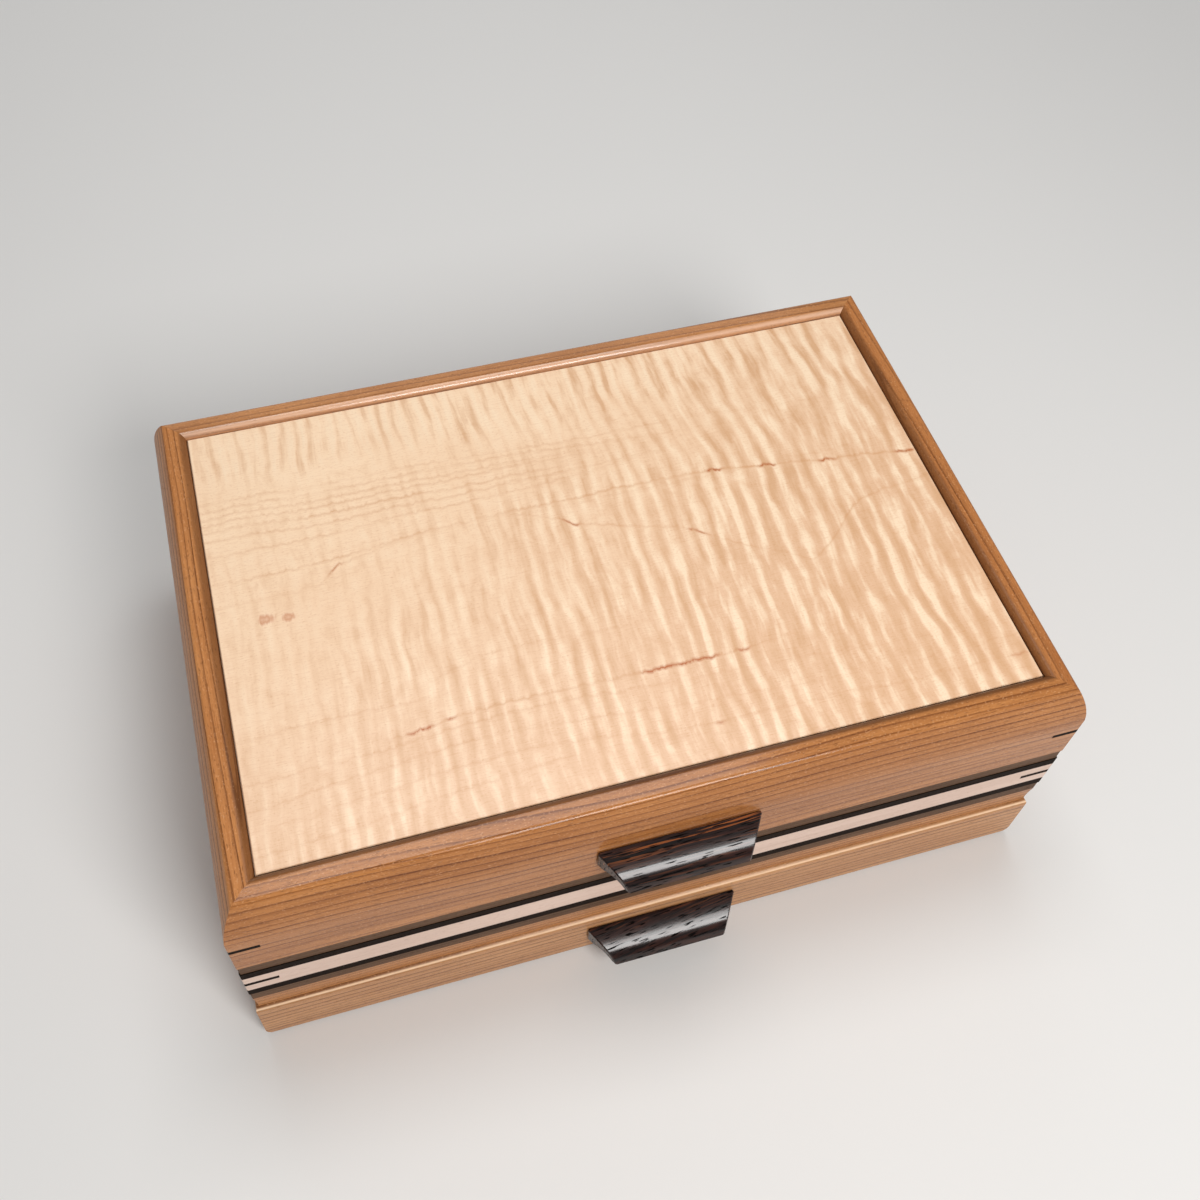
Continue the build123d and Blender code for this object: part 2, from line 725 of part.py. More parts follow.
# Dividers of the drawer, halved over each other
divider_low = drawer_bottom_top + lining_thickness
cross_places = [(-drawer_side_inner / 3, drawer_middle_y), (drawer_side_inner / 3, drawer_middle_y)]
with BuildPart() as drawer_divider_long:
    with BuildSketch(Plane.XY.offset(divider_low)):
        with Locations((0, drawer_middle_y)):
            Rectangle(2 * drawer_side_inner, drawer_divider_thickness)
    extrude(amount=drawer_divider_height)
    with BuildSketch(Plane.XY.offset(divider_low + drawer_divider_height / 2)):
        with Locations(*cross_places):
            Rectangle(drawer_divider_thickness, drawer_divider_thickness)
    extrude(amount=drawer_divider_height, mode=Mode.SUBTRACT)
save(drawer_divider_long.part, "drawer_divider_long")

with BuildPart() as drawer_dividers_cross:
    with BuildSketch(Plane.XY.offset(divider_low)):
        with Locations(*cross_places):
            Rectangle(drawer_divider_thickness, drawer_length)
    extrude(amount=drawer_divider_height)
    with BuildSketch(Plane.XY.offset(divider_low)):
        with Locations(*cross_places):
            Rectangle(drawer_divider_thickness, drawer_divider_thickness)
    extrude(amount=drawer_divider_height / 2, mode=Mode.SUBTRACT)
save(drawer_dividers_cross.part, "drawer_dividers_cross")

save(finger_pull(drawer_front_face, plinth_top - drawer_pull_drop), "drawer_pull")

# Sliding tray with finger-jointed corners
tray_left_x = -inner_width / 2 + tray_side_gap
tray_middle_x = tray_left_x + tray_length / 2
tray_depth = inner_depth - 2 * tray_side_gap
tray_low = ledge_top + tray_lift
finger_height = tray_height / finger_rows
tray_bottom_low = tray_low + tray_bottom_lip
tray_bottom_top = tray_bottom_low + tray_bottom_thickness
tray_inner_length = tray_length - 2 * tray_wall
tray_inner_depth = tray_depth - 2 * tray_wall
tray_floor = tray_bottom_top + lining_thickness


def tray_box(grow, low, height, mode):
    # Block over the tray's inside in plan, grown on all four sides.
    with BuildSketch(Plane.XY.offset(low)) as outline:
        with Locations((tray_middle_x, 0)):
            Rectangle(tray_inner_length + 2 * grow, tray_inner_depth + 2 * grow)
    extrude(outline.sketch, amount=height, mode=mode)


def tray_board(x, y, size_x, size_y, first_row):
    # One wall of the tray: it keeps the corners of every second row, from first_row up.
    with BuildPart() as board:
        with BuildSketch(Plane.XY.offset(tray_low)):
            with Locations((x, y)):
                Rectangle(size_x, size_y)
        extrude(amount=tray_height)
        for row in range(1 - first_row, finger_rows, 2):
            with BuildSketch(Plane.XY.offset(tray_low + row * finger_height)):
                for corner_x in (-1, 1):
                    for corner_y in (-1, 1):
                        with Locations(
                            (
                                tray_middle_x + corner_x * (tray_length - tray_wall) / 2,
                                corner_y * (tray_depth - tray_wall) / 2,
                            )
                        ):
                            Rectangle(tray_wall, tray_wall)
            extrude(amount=finger_height, mode=Mode.SUBTRACT)
        tray_box(tray_groove_depth, tray_bottom_low, tray_bottom_thickness, Mode.SUBTRACT)
    return board.part


front_middle_y = -(tray_depth - tray_wall) / 2
end_middle_x = (tray_length - tray_wall) / 2
save(tray_board(tray_middle_x, front_middle_y, tray_length, tray_wall, 0), "tray_front")
save(tray_board(tray_middle_x, -front_middle_y, tray_length, tray_wall, 0), "tray_back")
save(tray_board(tray_middle_x - end_middle_x, 0, tray_wall, tray_depth, 1), "tray_left")
save(tray_board(tray_middle_x + end_middle_x, 0, tray_wall, tray_depth, 1), "tray_right")

with BuildPart() as tray_bottom:
    tray_box(tray_groove_depth - floor_clearance, tray_bottom_low, tray_bottom_thickness, Mode.ADD)
save(tray_bottom.part, "tray_bottom")

with BuildPart() as tray_lining:
    tray_box(-lining_clearance, tray_bottom_top, lining_thickness, Mode.ADD)
save(tray_lining.part, "tray_lining")

ring_cell_depth = tray_inner_depth * ring_cell_share
ring_cell_back = -tray_inner_depth / 2 + ring_cell_depth
rear_cell_depth = tray_inner_depth / 2 - ring_cell_back - tray_divider_thickness
with BuildPart() as tray_divider_wide:
    with BuildSketch(Plane.XY.offset(tray_floor)):
        with Locations((tray_middle_x, ring_cell_back + tray_divider_thickness / 2)):
            Rectangle(tray_inner_length, tray_divider_thickness)
    extrude(amount=tray_divider_height)
save(tray_divider_wide.part, "tray_divider_wide")

with BuildPart() as tray_divider_short:
    with BuildSketch(Plane.XY.offset(tray_floor)):
        with Locations((tray_middle_x, tray_inner_depth / 2 - rear_cell_depth / 2)):
            Rectangle(tray_divider_thickness, rear_cell_depth)
    extrude(amount=tray_divider_height)
save(tray_divider_short.part, "tray_divider_short")

# Padded ring rolls: arched along their length, with drawn-in ends
roll_pitch = (ring_cell_depth - ring_roll_gap) / ring_roll_count
roll_width = roll_pitch - ring_roll_gap
roll_length = tray_inner_length - 2 * ring_roll_side_gap


def roll_section(x, middle_y, width, height):
    # An arch on straight sides that swell a little above the lining.
    plane = Plane(origin=(x, middle_y, tray_floor), x_dir=(0, 1, 0), z_dir=(1, 0, 0))
    with BuildSketch(plane) as section:
        with BuildLine():
            Line((-width / 2 + ring_roll_tuck, 0), (width / 2 - ring_roll_tuck, 0))
            ThreePointArc(
                (width / 2 - ring_roll_tuck, 0),
                (width / 2, height / 3),
                (width / 2 - ring_roll_tuck / 2, height * 2 / 3),
            )
            ThreePointArc(
                (width / 2 - ring_roll_tuck / 2, height * 2 / 3),
                (0, height),
                (-width / 2 + ring_roll_tuck / 2, height * 2 / 3),
            )
            ThreePointArc(
                (-width / 2 + ring_roll_tuck / 2, height * 2 / 3),
                (-width / 2, height / 3),
                (-width / 2 + ring_roll_tuck, 0),
            )
        make_face()
    return section.sketch


with BuildPart() as ring_rolls:
    for index in range(ring_roll_count):
        middle_y = -tray_inner_depth / 2 + ring_roll_gap + roll_width / 2 + index * roll_pitch
        sections = []
        for end_sign, stations in ((-1, ring_roll_stations), (1, ring_roll_stations[::-1])):
            for station in stations:
                narrowing = (1 - station) ** 3
                x = tray_middle_x + end_sign * (roll_length / 2 - station * ring_roll_end_length)
                width = roll_width - 2 * narrowing * ring_roll_end_pull
                height = ring_roll_height - narrowing * ring_roll_end_drop
                sections.append(roll_section(x, middle_y, width, height))
        loft(sections, ruled=True)
save(ring_rolls.part, "ring_rolls")
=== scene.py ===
import random

import bmesh
import bpy
from mathutils import Matrix, Vector


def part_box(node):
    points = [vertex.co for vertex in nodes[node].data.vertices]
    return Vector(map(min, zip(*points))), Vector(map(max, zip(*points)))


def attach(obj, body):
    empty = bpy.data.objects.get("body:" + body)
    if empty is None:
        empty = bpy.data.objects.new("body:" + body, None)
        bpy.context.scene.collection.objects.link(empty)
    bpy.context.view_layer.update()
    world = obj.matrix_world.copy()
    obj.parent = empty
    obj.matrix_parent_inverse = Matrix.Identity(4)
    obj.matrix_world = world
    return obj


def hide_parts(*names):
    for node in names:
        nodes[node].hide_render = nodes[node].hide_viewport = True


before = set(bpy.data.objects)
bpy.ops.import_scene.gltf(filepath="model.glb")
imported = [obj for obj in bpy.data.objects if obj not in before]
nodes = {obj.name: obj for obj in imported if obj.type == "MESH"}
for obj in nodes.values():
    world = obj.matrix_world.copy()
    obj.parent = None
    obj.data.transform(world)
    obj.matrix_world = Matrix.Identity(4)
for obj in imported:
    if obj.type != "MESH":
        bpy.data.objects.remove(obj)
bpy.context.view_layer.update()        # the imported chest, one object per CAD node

millimetresInMetre = 1000.0
print("frame loaded:", len(nodes), "nodes")


def paint(red, green, blue):
    # a display colour, 0 to 255, as the linear colour that a socket takes
    def linear(value):
        value = value / 255
        return value / 12.92 if value <= 0.04045 else ((value + 0.055) / 1.055) ** 2.4
    return (linear(red), linear(green), linear(blue), 1.0)


class Wire:
    # a node's output that can be calculated with
    def __init__(self, tree, socket):
        self.tree = tree
        self.socket = socket

    def calculate(self, operation, other, flipped=False):
        node = self.tree.nodes.new("ShaderNodeMath")
        node.operation = operation
        for place, value in enumerate([other, self] if flipped else [self, other]):
            join(self.tree, node.inputs[place], value)
        return Wire(self.tree, node.outputs[0])

    def __add__(self, other): return self.calculate("ADD", other)
    def __radd__(self, other): return self.calculate("ADD", other, True)
    def __sub__(self, other): return self.calculate("SUBTRACT", other)
    def __rsub__(self, other): return self.calculate("SUBTRACT", other, True)
    def __mul__(self, other): return self.calculate("MULTIPLY", other)
    def __rmul__(self, other): return self.calculate("MULTIPLY", other, True)
    def __truediv__(self, other): return self.calculate("DIVIDE", other)
    def __rtruediv__(self, other): return self.calculate("DIVIDE", other, True)
    def __pow__(self, other): return self.calculate("POWER", other)
    def __mod__(self, other): return self.calculate("FLOORED_MODULO", other)
    def __abs__(self): return self.calculate("ABSOLUTE", 0.0)


def join(tree, socket, value):
    if isinstance(value, Wire):
        tree.links.new(value.socket, socket)
    elif value is not None:
        socket.default_value = value


def swing(noise, size):
    # noise from 0 to 1 as a swing of this size about its middle
    return (noise - 0.5) * size


class Finish:
    # one material and the nodes that feed its shader
    def __init__(self, name, roughness=0.5, **shaderValues):
        self.material = bpy.data.materials.new(name)
        self.material.use_nodes = True
        self.tree = self.material.node_tree
        self.shader = self.tree.nodes["Principled BSDF"]
        self.shader.inputs["Roughness"].default_value = roughness
        for socket, value in shaderValues.items():
            self.shader.inputs[socket.replace("_", " ")].default_value = value

    def add(self, nodeType, settings=None, output=0, **values):
        node = self.tree.nodes.new("ShaderNode" + nodeType)
        for setting, value in (settings or {}).items():
            if setting == "stops":
                self.setStops(node.color_ramp, value)
            elif setting == "between":
                node.color_ramp.interpolation = value
            else:
                setattr(node, setting, value)
        for socket, value in values.items():
            found = [s for s in node.inputs if s.name.replace(" ", "") == socket and s.enabled]
            join(self.tree, found[0], value)
        return Wire(self.tree, node.outputs[output])

    def setStops(self, ramp, stops):
        while len(ramp.elements) < len(stops):
            ramp.elements.new(0.5)
        for element, (place, colour) in zip(ramp.elements, stops):
            element.position = place
            element.color = colour

    def feed(self, socket, value):
        join(self.tree, self.shader.inputs[socket], value)

    def millimetres(self):
        # place in the chest's own frame
        here = self.add("TexCoord", output=3)
        axes = self.tree.nodes.new("ShaderNodeSeparateXYZ")
        self.tree.links.new(here.socket, axes.inputs[0])
        return [Wire(self.tree, axes.outputs[i]) * millimetresInMetre for i in range(3)]

    def noise(self, place, lump, detail=2.0, roughness=0.5, distortion=0.0, shift=(0, 0, 0)):
        # soft noise from 0 to 1, its lumps as large as given along each axis
        axes = []
        for at, size, move in zip(place, lump, shift):
            scaled = at if size == 1 else at / size
            axes.append(scaled + move if move else scaled)
        point = self.add("CombineXYZ", X=axes[0], Y=axes[1], Z=axes[2])
        return self.add("TexNoise", {"noise_dimensions": "3D"}, Vector=point, Scale=1.0,
                        Detail=detail, Roughness=roughness, Distortion=distortion)

    def ramp(self, value, *stops):
        greys = [(place, (level, level, level, 1)) for place, level in stops]
        return self.add("ValToRGB", {"stops": greys, "between": "LINEAR"}, Fac=value)

    def mix(self, share, first, second):
        node = self.tree.nodes.new("ShaderNodeMix")
        node.data_type = "RGBA"
        join(self.tree, node.inputs[0], share)
        join(self.tree, node.inputs[6], first)
        join(self.tree, node.inputs[7], second)
        return Wire(self.tree, node.outputs[2])

    def layer(self, colour, look, shares):
        # the look's colours one over the other, each by its share
        for key, share in shares:
            colour = self.mix(share, colour, look[key])
        return colour

    def bump(self, height, distance):
        self.feed("Normal", self.add("Bump", Height=height, Distance=distance, Strength=1.0))


# a board's marks, sizes in millimetres: along the grain, across the board and through it
boardMarks = {
    "wander": (60.0, 60.0), "fading": (60.0, 5.0, 5.0), "fibres": (16.0, 0.5, 0.5),
    "broad": (80.0, 9.0, 9.0), "pores": (2.2, 0.32, 0.32), "rays": (0.9, 0.6, 0.35),
    "poreLevels": ((0.62, 0.0), (0.72, 1.0)), "rayLevels": ((0.6, 0.0), (0.72, 1.0)),
    "shadeLevels": ((0.1, 0.0), (0.85, 1.0)), "shadeMiddle": 0.42,
    # rings stand closer and wider, and are faint or bold, in turns of so many rings and so long
    "spacing": (3.2, 900.0), "spacingShift": 3.4,
    "boldRate": 0.7, "boldLength": 500.0, "boldLevels": ((0.3, 0.45), (0.6, 1.0)),
    # how dark the wood is through one ring
    "ring": ((0.0, 0.05), (0.5, 0.08), (0.76, 0.35), (0.88, 1.0), (0.95, 0.85), (1.0, 0.05)),
    "coatRoughness": 0.25,
    # what each mark adds to the roughness and to the height
    "fibreRough": 0.2, "poreRough": 0.12, "rayRough": 0.1,
    "fibreHeight": 0.6, "poreHeight": 0.5, "ringHeight": 0.3,
}

# painted shade and painted highlights on the edges: strength against the distance from the edge as a share of the
# reach
edgeMarks = {
    "panelReach": 10.0, "waver": 0.06,
    "pooled": ((0.0, 1.0), (0.24, 0.85), (0.36, 0.0)),
    "polished": ((0.0, 0.15), (0.07, 0.35), (0.13, 1.0), (0.19, 0.8), (0.28, 0.0)),
    "above": 108.0, "aboveReach": 4.0, "aboveLevels": ((0.4, 0.0), (0.8, 1.0)),
    "rubbedReach": 2.0, "rubbed": ((0.0, 1.0), (0.1, 0.8), (0.24, 0.0)), "outside": ((0.0, 0.0), (0.6, 1.0)),
    "rubbedLeast": 0.7, "rubbedFibres": 0.5,
}


def makeBoardWood(name, look, grain, shift, pith, bow=(0.0, 0.0), arris=None, worn=None):
    # a sawn board: rings round a pith that lies off the board, crossed by fibres, pores and ray flecks
    marks, edges = boardMarks, edgeMarks
    finish = Finish(name, look["roughness"], Specular_IOR_Level=look["gloss"], Coat_Weight=look["coat"],
                    Coat_Roughness=look.get("coatRoughness", marks["coatRoughness"]))
    x, y, height = finish.millimetres()
    run, side = (x, y) if grain == "x" else (y, x)
    bend, bendAt = bow
    fromBend = run - bendAt
    z = height - fromBend * fromBend * bend
    along = run + shift[0]
    place = (along, side, z)

    drift = finish.noise(place, (look["wanderLength"], *marks["wander"]), 1.0, shift=(0, shift[1], shift[2]))
    across = side - pith[0] + swing(drift, look["wander"])
    deep = z - pith[1] + swing(drift, look["wander"])
    rings = (across * across + deep * deep) ** 0.5 / look["ringPitch"]
    spacing = finish.noise((rings, along, shift[1]), (*marks["spacing"], 1), 1.0)
    bold = finish.noise((rings * marks["boldRate"], along, shift[2]), (1, marks["boldLength"], 1), 1.0)
    lateWood = finish.ramp((rings + spacing * marks["spacingShift"]) % 1.0, *marks["ring"])
    lateWood = lateWood * finish.ramp(bold, *marks["boldLevels"])

    fading = finish.noise(place, marks["fading"], 2.0)
    fibres = finish.noise(place, marks["fibres"], 3.0, 0.7, shift=(0, shift[1], 0))
    broad = finish.noise(place, marks["broad"], 2.0, shift=(0, 0, shift[2]))
    pore = finish.ramp(finish.noise(place, marks["pores"], 1.0), *marks["poreLevels"])
    rays = finish.ramp(finish.noise(place, marks["rays"], 1.0), *marks["rayLevels"])
    shade = swing(broad, look["broadDepth"]) + swing(fibres, look["fibreDepth"]) + marks["shadeMiddle"]
    colour = finish.layer(look["light"], look, [
        ("middle", finish.ramp(shade, *marks["shadeLevels"])),
        ("dark", lateWood * (fading + 0.5) * look["ringDepth"]),
        ("pore", pore * look["poreDepth"]),
        ("ray", rays * look["rayDepth"]),
    ])
    if arris:
        # round the panel the edge is painted: painted shade on the rails whose inner slope faces away from the
        # light, and a painted highlight on the back rail's slope, but not inside the lid
        edge, depth, kind = arris
        fromPanel = (abs(side) - edge) / edges["panelReach"] + swing(fading, edges["waver"])
        above = finish.ramp((height - edges["above"]) / edges["aboveReach"], *edges["aboveLevels"])
        colour = finish.mix(finish.ramp(fromPanel, *edges[kind]) * above * depth, colour, look[kind])
    if worn:
        # a painted highlight: the outer arris at this height is painted pale, where the light catches it
        highlightHeight, outer, inner = worn
        rubbed = finish.ramp(abs(height - highlightHeight) / edges["rubbedReach"], *edges["rubbed"])
        outside = finish.ramp((abs(side) - inner) / (outer - inner), *edges["outside"])
        share = rubbed * outside * (fibres * edges["rubbedFibres"] + edges["rubbedLeast"])
        colour = finish.mix(share, colour, look["rubbed"])
    finish.feed("Base Color", colour)
    rough = look["roughness"] + swing(fibres, marks["fibreRough"]) + pore * marks["poreRough"]
    finish.feed("Roughness", rough - rays * marks["rayRough"])
    raised = fibres * marks["fibreHeight"] - pore * marks["poreHeight"] - lateWood * marks["ringHeight"]
    finish.bump(raised, look["relief"])
    return finish.material


cherryLook = {
    "light": paint(204, 140, 84), "middle": paint(170, 109, 59), "dark": paint(92, 46, 18),
    "pore": paint(92, 48, 24), "ray": paint(228, 172, 124),
    # painted shade round the panel, and painted highlights on the back rail's slope and on the drawer front's top
    # arris
    "pooled": paint(92, 54, 26), "polished": paint(250, 210, 182), "rubbed": paint(255, 218, 180),
    "ringPitch": 2.5, "wander": 4.5, "wanderLength": 170.0,
    "ringDepth": 0.8, "broadDepth": 1.1, "fibreDepth": 1.3, "poreDepth": 0.45, "rayDepth": 0.35,
    "roughness": 0.4, "coat": 0.42, "gloss": 0.08, "relief": 0.00014,
}

drawerLook = dict(
    cherryLook, light=paint(212, 156, 104), middle=paint(182, 125, 78), dark=paint(116, 68, 34),
    ringPitch=3.2, ringDepth=0.95,
)

bandLook = {
    "light": paint(234, 206, 190), "middle": paint(216, 186, 169), "dark": paint(188, 150, 124),
    "pore": paint(170, 128, 100), "ray": paint(238, 214, 196),
    "ringPitch": 4.4, "wander": 8.0, "wanderLength": 90.0,
    "ringDepth": 0.22, "broadDepth": 1.2, "fibreDepth": 0.5, "poreDepth": 0.25, "rayDepth": 0.2,
    "roughness": 0.42, "coat": 0.05, "gloss": 0.35, "relief": 0.00006,
}

innerLook = dict(
    bandLook, light=paint(228, 198, 158), middle=paint(212, 178, 136), dark=paint(184, 144, 100),
    pore=paint(170, 130, 90), ray=paint(236, 208, 170), ringDepth=0.4,
)

walnutLook = {
    "light": paint(112, 84, 63), "middle": paint(90, 65, 48), "dark": paint(56, 38, 27),
    "pore": paint(40, 27, 20), "ray": paint(124, 98, 78),
    "ringPitch": 2.4, "wander": 6.0, "wanderLength": 90.0,
    "ringDepth": 0.45, "broadDepth": 1.2, "fibreDepth": 0.7, "poreDepth": 0.5, "rayDepth": 0.1,
    "roughness": 0.5, "coat": 0.0, "gloss": 0.08, "relief": 0.00008,
}

wengeLook = {
    "light": paint(40, 29, 22), "middle": paint(26, 18, 13), "dark": paint(12, 8, 6),
    "pore": paint(7, 4, 3), "ray": paint(44, 32, 24),
    "ringPitch": 1.2, "wander": 4.0, "wanderLength": 80.0,
    "ringDepth": 0.6, "broadDepth": 1.0, "fibreDepth": 0.8, "poreDepth": 0.6, "rayDepth": 0.1,
    "roughness": 0.6, "coat": 0.0, "gloss": 0.03, "relief": 0.00008,
}

panelLook = {
    # pale is the colour of the painted light
    "light": paint(255, 227, 194), "base": paint(235, 193, 156), "pale": paint(254, 222, 187),
    "curl": paint(221, 175, 133), "line": paint(200, 134, 72), "mark": paint(184, 100, 44),
    "stain": paint(232, 184, 142), "knot": paint(206, 138, 98),
    "halfWidth": 138.0, "halfDepth": 92.0, "roughness": 0.36, "coat": 0.12, "coatRoughness": 0.22,
    "relief": 0.00012, "lineWidth": 1.1, "lineStrength": 0.5, "markStrength": 1.5,
    "lineLevels": ((0.0, 1.0), (0.3, 0.55), (1.0, 0.0)), "markEnds": 1.0,
    # growth lines: the points that each passes with its strength there, and the stretches that are dark brown
    "growthLines": [
        ([(-138, 57, 0.5), (-60, 56, 0.5), (0, 54, 0.4), (60, 53, 0.3), (138, 47, 0.1)], []),
        ([(-138, 53.5, 0.6), (-60, 52.6, 0.6), (0, 51, 0.5), (90, 45, 0.0)], []),
        ([(-138, 50.4, 0.6), (-60, 49, 0.6), (0, 48, 0.4), (40, 47, 0.0)], []),
        ([(-138, 47.4, 0.7), (-60, 46, 0.7), (0, 46.4, 0.5), (60, 44, 0.0)], []),
        ([(-138, 44, 0.8), (-60, 42, 0.8), (-10, 42, 0.5), (20, 42, 0.0)], []),
        ([(-138, 39.6, 0.6), (-60, 38, 0.6), (20, 40, 0.5), (50, 41, 0.0)], []),
        ([(-138, 32, 0.5), (-60, 33.5, 0.6), (-10, 35.5, 0.5), (60, 42, 0.1)], []),
        ([(-138, 20, 0.6), (-100, 20.5, 0.7), (-50, 24.5, 0.8), (45, 26, 0.8), (78, 22, 0.8), (138, 15, 0.7)],
         [(54, 60), (75, 81), (99, 105), (130, 138)]),
        ([(-138, 10, 0.3), (-100, 11, 0.3), (-93, 17.5, 0.5), (-60, 23, 0.2)], [(-96, -91)]),
        ([(-24, 24, 0.2), (-3, 14, 0.6), (41, -1, 0.6), (74, -21, 0.5), (84, -21, 0.6), (103, -5, 0.7),
          (138, 2, 0.5)],
         [(-7, -1), (38, 44)]),
        ([(-76, -38, 0.0), (-70, -38, 0.3), (-48, -32, 0.4), (0, -34, 0.3), (14, -34, 0.0)], []),
        ([(-138, -44, 0.4), (-80, -44, 0.4), (-64, -44, 0.0)], []),
        ([(-92, -56, 0.0), (-80, -55.6, 0.7), (-66, -53.2, 0.8), (-20, -52.8, 0.7), (30, -53.6, 0.7),
          (66, -52, 0.1)],
         [(-82, -73), (-67.5, -65), (2, 30), (37, 42)]),
        ([(-138, -60, 0.4), (-90, -59.5, 0.5), (-60, -57, 0.5), (-10, -58, 0.4), (90, -64, 0.1)], []),
        ([(-138, -70, 0.4), (-68, -64, 0.6), (-20, -66, 0.5), (70, -73, 0.2)], []),
        ([(-138, -77, 0.3), (-46, -71.5, 0.5), (0, -77, 0.5), (138, -81, 0.3)], [(20.5, 23), (131, 138)]),
        ([(-138, -86, 0.4), (-68, -80.5, 0.5), (-20, -78, 0.3), (60, -86, 0.1)], []),
    ],
    "knots": [(-121.0, 1.5, 2.6), (-112.8, 0.6, 2.1)],        # place and radius
}


def drawGrowthLines(finish, x, y, jog):
    # each path is a ramp along the board: its grey is the place across, its alpha the line's strength
    look = panelLook
    lines, marks = 0.0, 0.0
    width, depth = look["halfWidth"] * 2, look["halfDepth"] * 2
    along = x / width + 0.5
    across = (y + jog) / depth + 0.5
    for points, darkStretches in look["growthLines"]:
        stops = []
        for pointX, pointY, strength in points:
            grey = pointY / depth + 0.5
            stops.append((pointX / width + 0.5, (grey, grey, grey, strength)))
        path = finish.add("ValToRGB", {"stops": stops, "between": "CARDINAL"}, Fac=along)
        strength = Wire(finish.tree, path.socket.node.outputs["Alpha"])
        fromLine = abs(across - path) * (depth / look["lineWidth"])
        line = finish.ramp(fromLine, *look["lineLevels"]) * strength
        lines = lines + line
        if darkStretches:
            levels, soft = [], look["markEnds"]
            for first, last in darkStretches:
                levels += [(first - soft, 0.0), (first + soft, 1.0), (last - soft, 1.0), (last + soft, 0.0)]
            marks = marks + line * finish.ramp(along, *[(place / width + 0.5, level) for place, level in levels])
    return lines, marks


curlLook = {
    "pitchLeft": 5.4, "pitchRight": 8.2, "lean": 12.0, "fork": 3.6, "beat": 0.9, "fullTurn": 6.28,
    "wave": 0.24, "bands": 1.35, "ripples": 0.95, "mottle": 0.5,
    # bands and ripples: how many to a curl, their length across the board, the level that is cut
    "bandCut": (2.0, 27.0, 8.2), "rippleCut": (4.6, 11.0, 2.6),
    # layers of noise: lump along and across the board, the level that is cut, then the noise's settings
    "layers": {
        "lean": (130.0, 110.0, 0.4, 1.0), "fork": (17.0, 24.0, 3.1, 1.0), "beat": (26.0, 44.0, 6.2, 1.0),
        "where": (42.0, 34.0, 5.5, 1.0), "mottle": (6.5, 9.0, 1.7, 2.0, 0.6, 0.8),
        "sag": (34.0, 50.0, 7.7, 2.0), "worn": (24.0, 10.0, 9.1, 1.0), "tint": (80.0, 40.0, 4.4, 2.0),
    },
    "fibres": (6.0, 0.5, 0.5), "grit": (1.1, 0.5, 1),
    # curls are stronger to the right and in the strip at the back
    "strengthMiddle": 0.44, "strengthReach": 380.0, "stripStrength": 0.4, "strengthSwing": 0.9,
    "linedAt": 48.0, "linedReach": 20.0,        # growth lines lie thick here across the board, over calm curls
    "sagJog": 4.0, "bandJog": 2.4, "rippleJog": 1.6,
    # painted light: the panel is painted paler towards the back and the left
    "palerAcross": 220.0, "palerAlong": 420.0, "palerMiddle": 0.4, "palerSwing": 0.4, "cornerPaler": 0.35,
    "knotLength": 1.3, "knotSwing": 1.2, "curlRough": 0.12, "fibreRough": 0.08, "fibreHeight": 0.12,
    "levels": {
        "topStrip": ((0.7, 0.0), (0.78, 1.0)), "strength": ((0.15, 0.25), (0.7, 1.0)),
        "linedAcross": ((0.4, 1.0), (1.0, 0.0)), "linedAlong": ((0.4, 0.5), (0.8, 0.0)),
        "worn": ((0.3, 0.35), (0.6, 1.0)), "paler": ((0.1, 0.0), (0.9, 1.0)), "corner": ((0.3, 1.0), (0.7, 0.0)),
        "light": ((0.0, 0.0), (0.38, 1.0)), "curl": ((0.0, 0.0), (0.46, 1.0)), "mark": ((0.35, 0.4), (0.55, 1.0)),
        "stain": ((0.55, 0.0), (0.8, 0.3)), "fibres": ((0.5, 0.0), (0.8, 0.28)), "grit": ((0.58, 0.0), (0.75, 0.25)),
        "knot": ((0.1, 0.45), (0.5, 0.75), (1.0, 0.0)),
    },
}


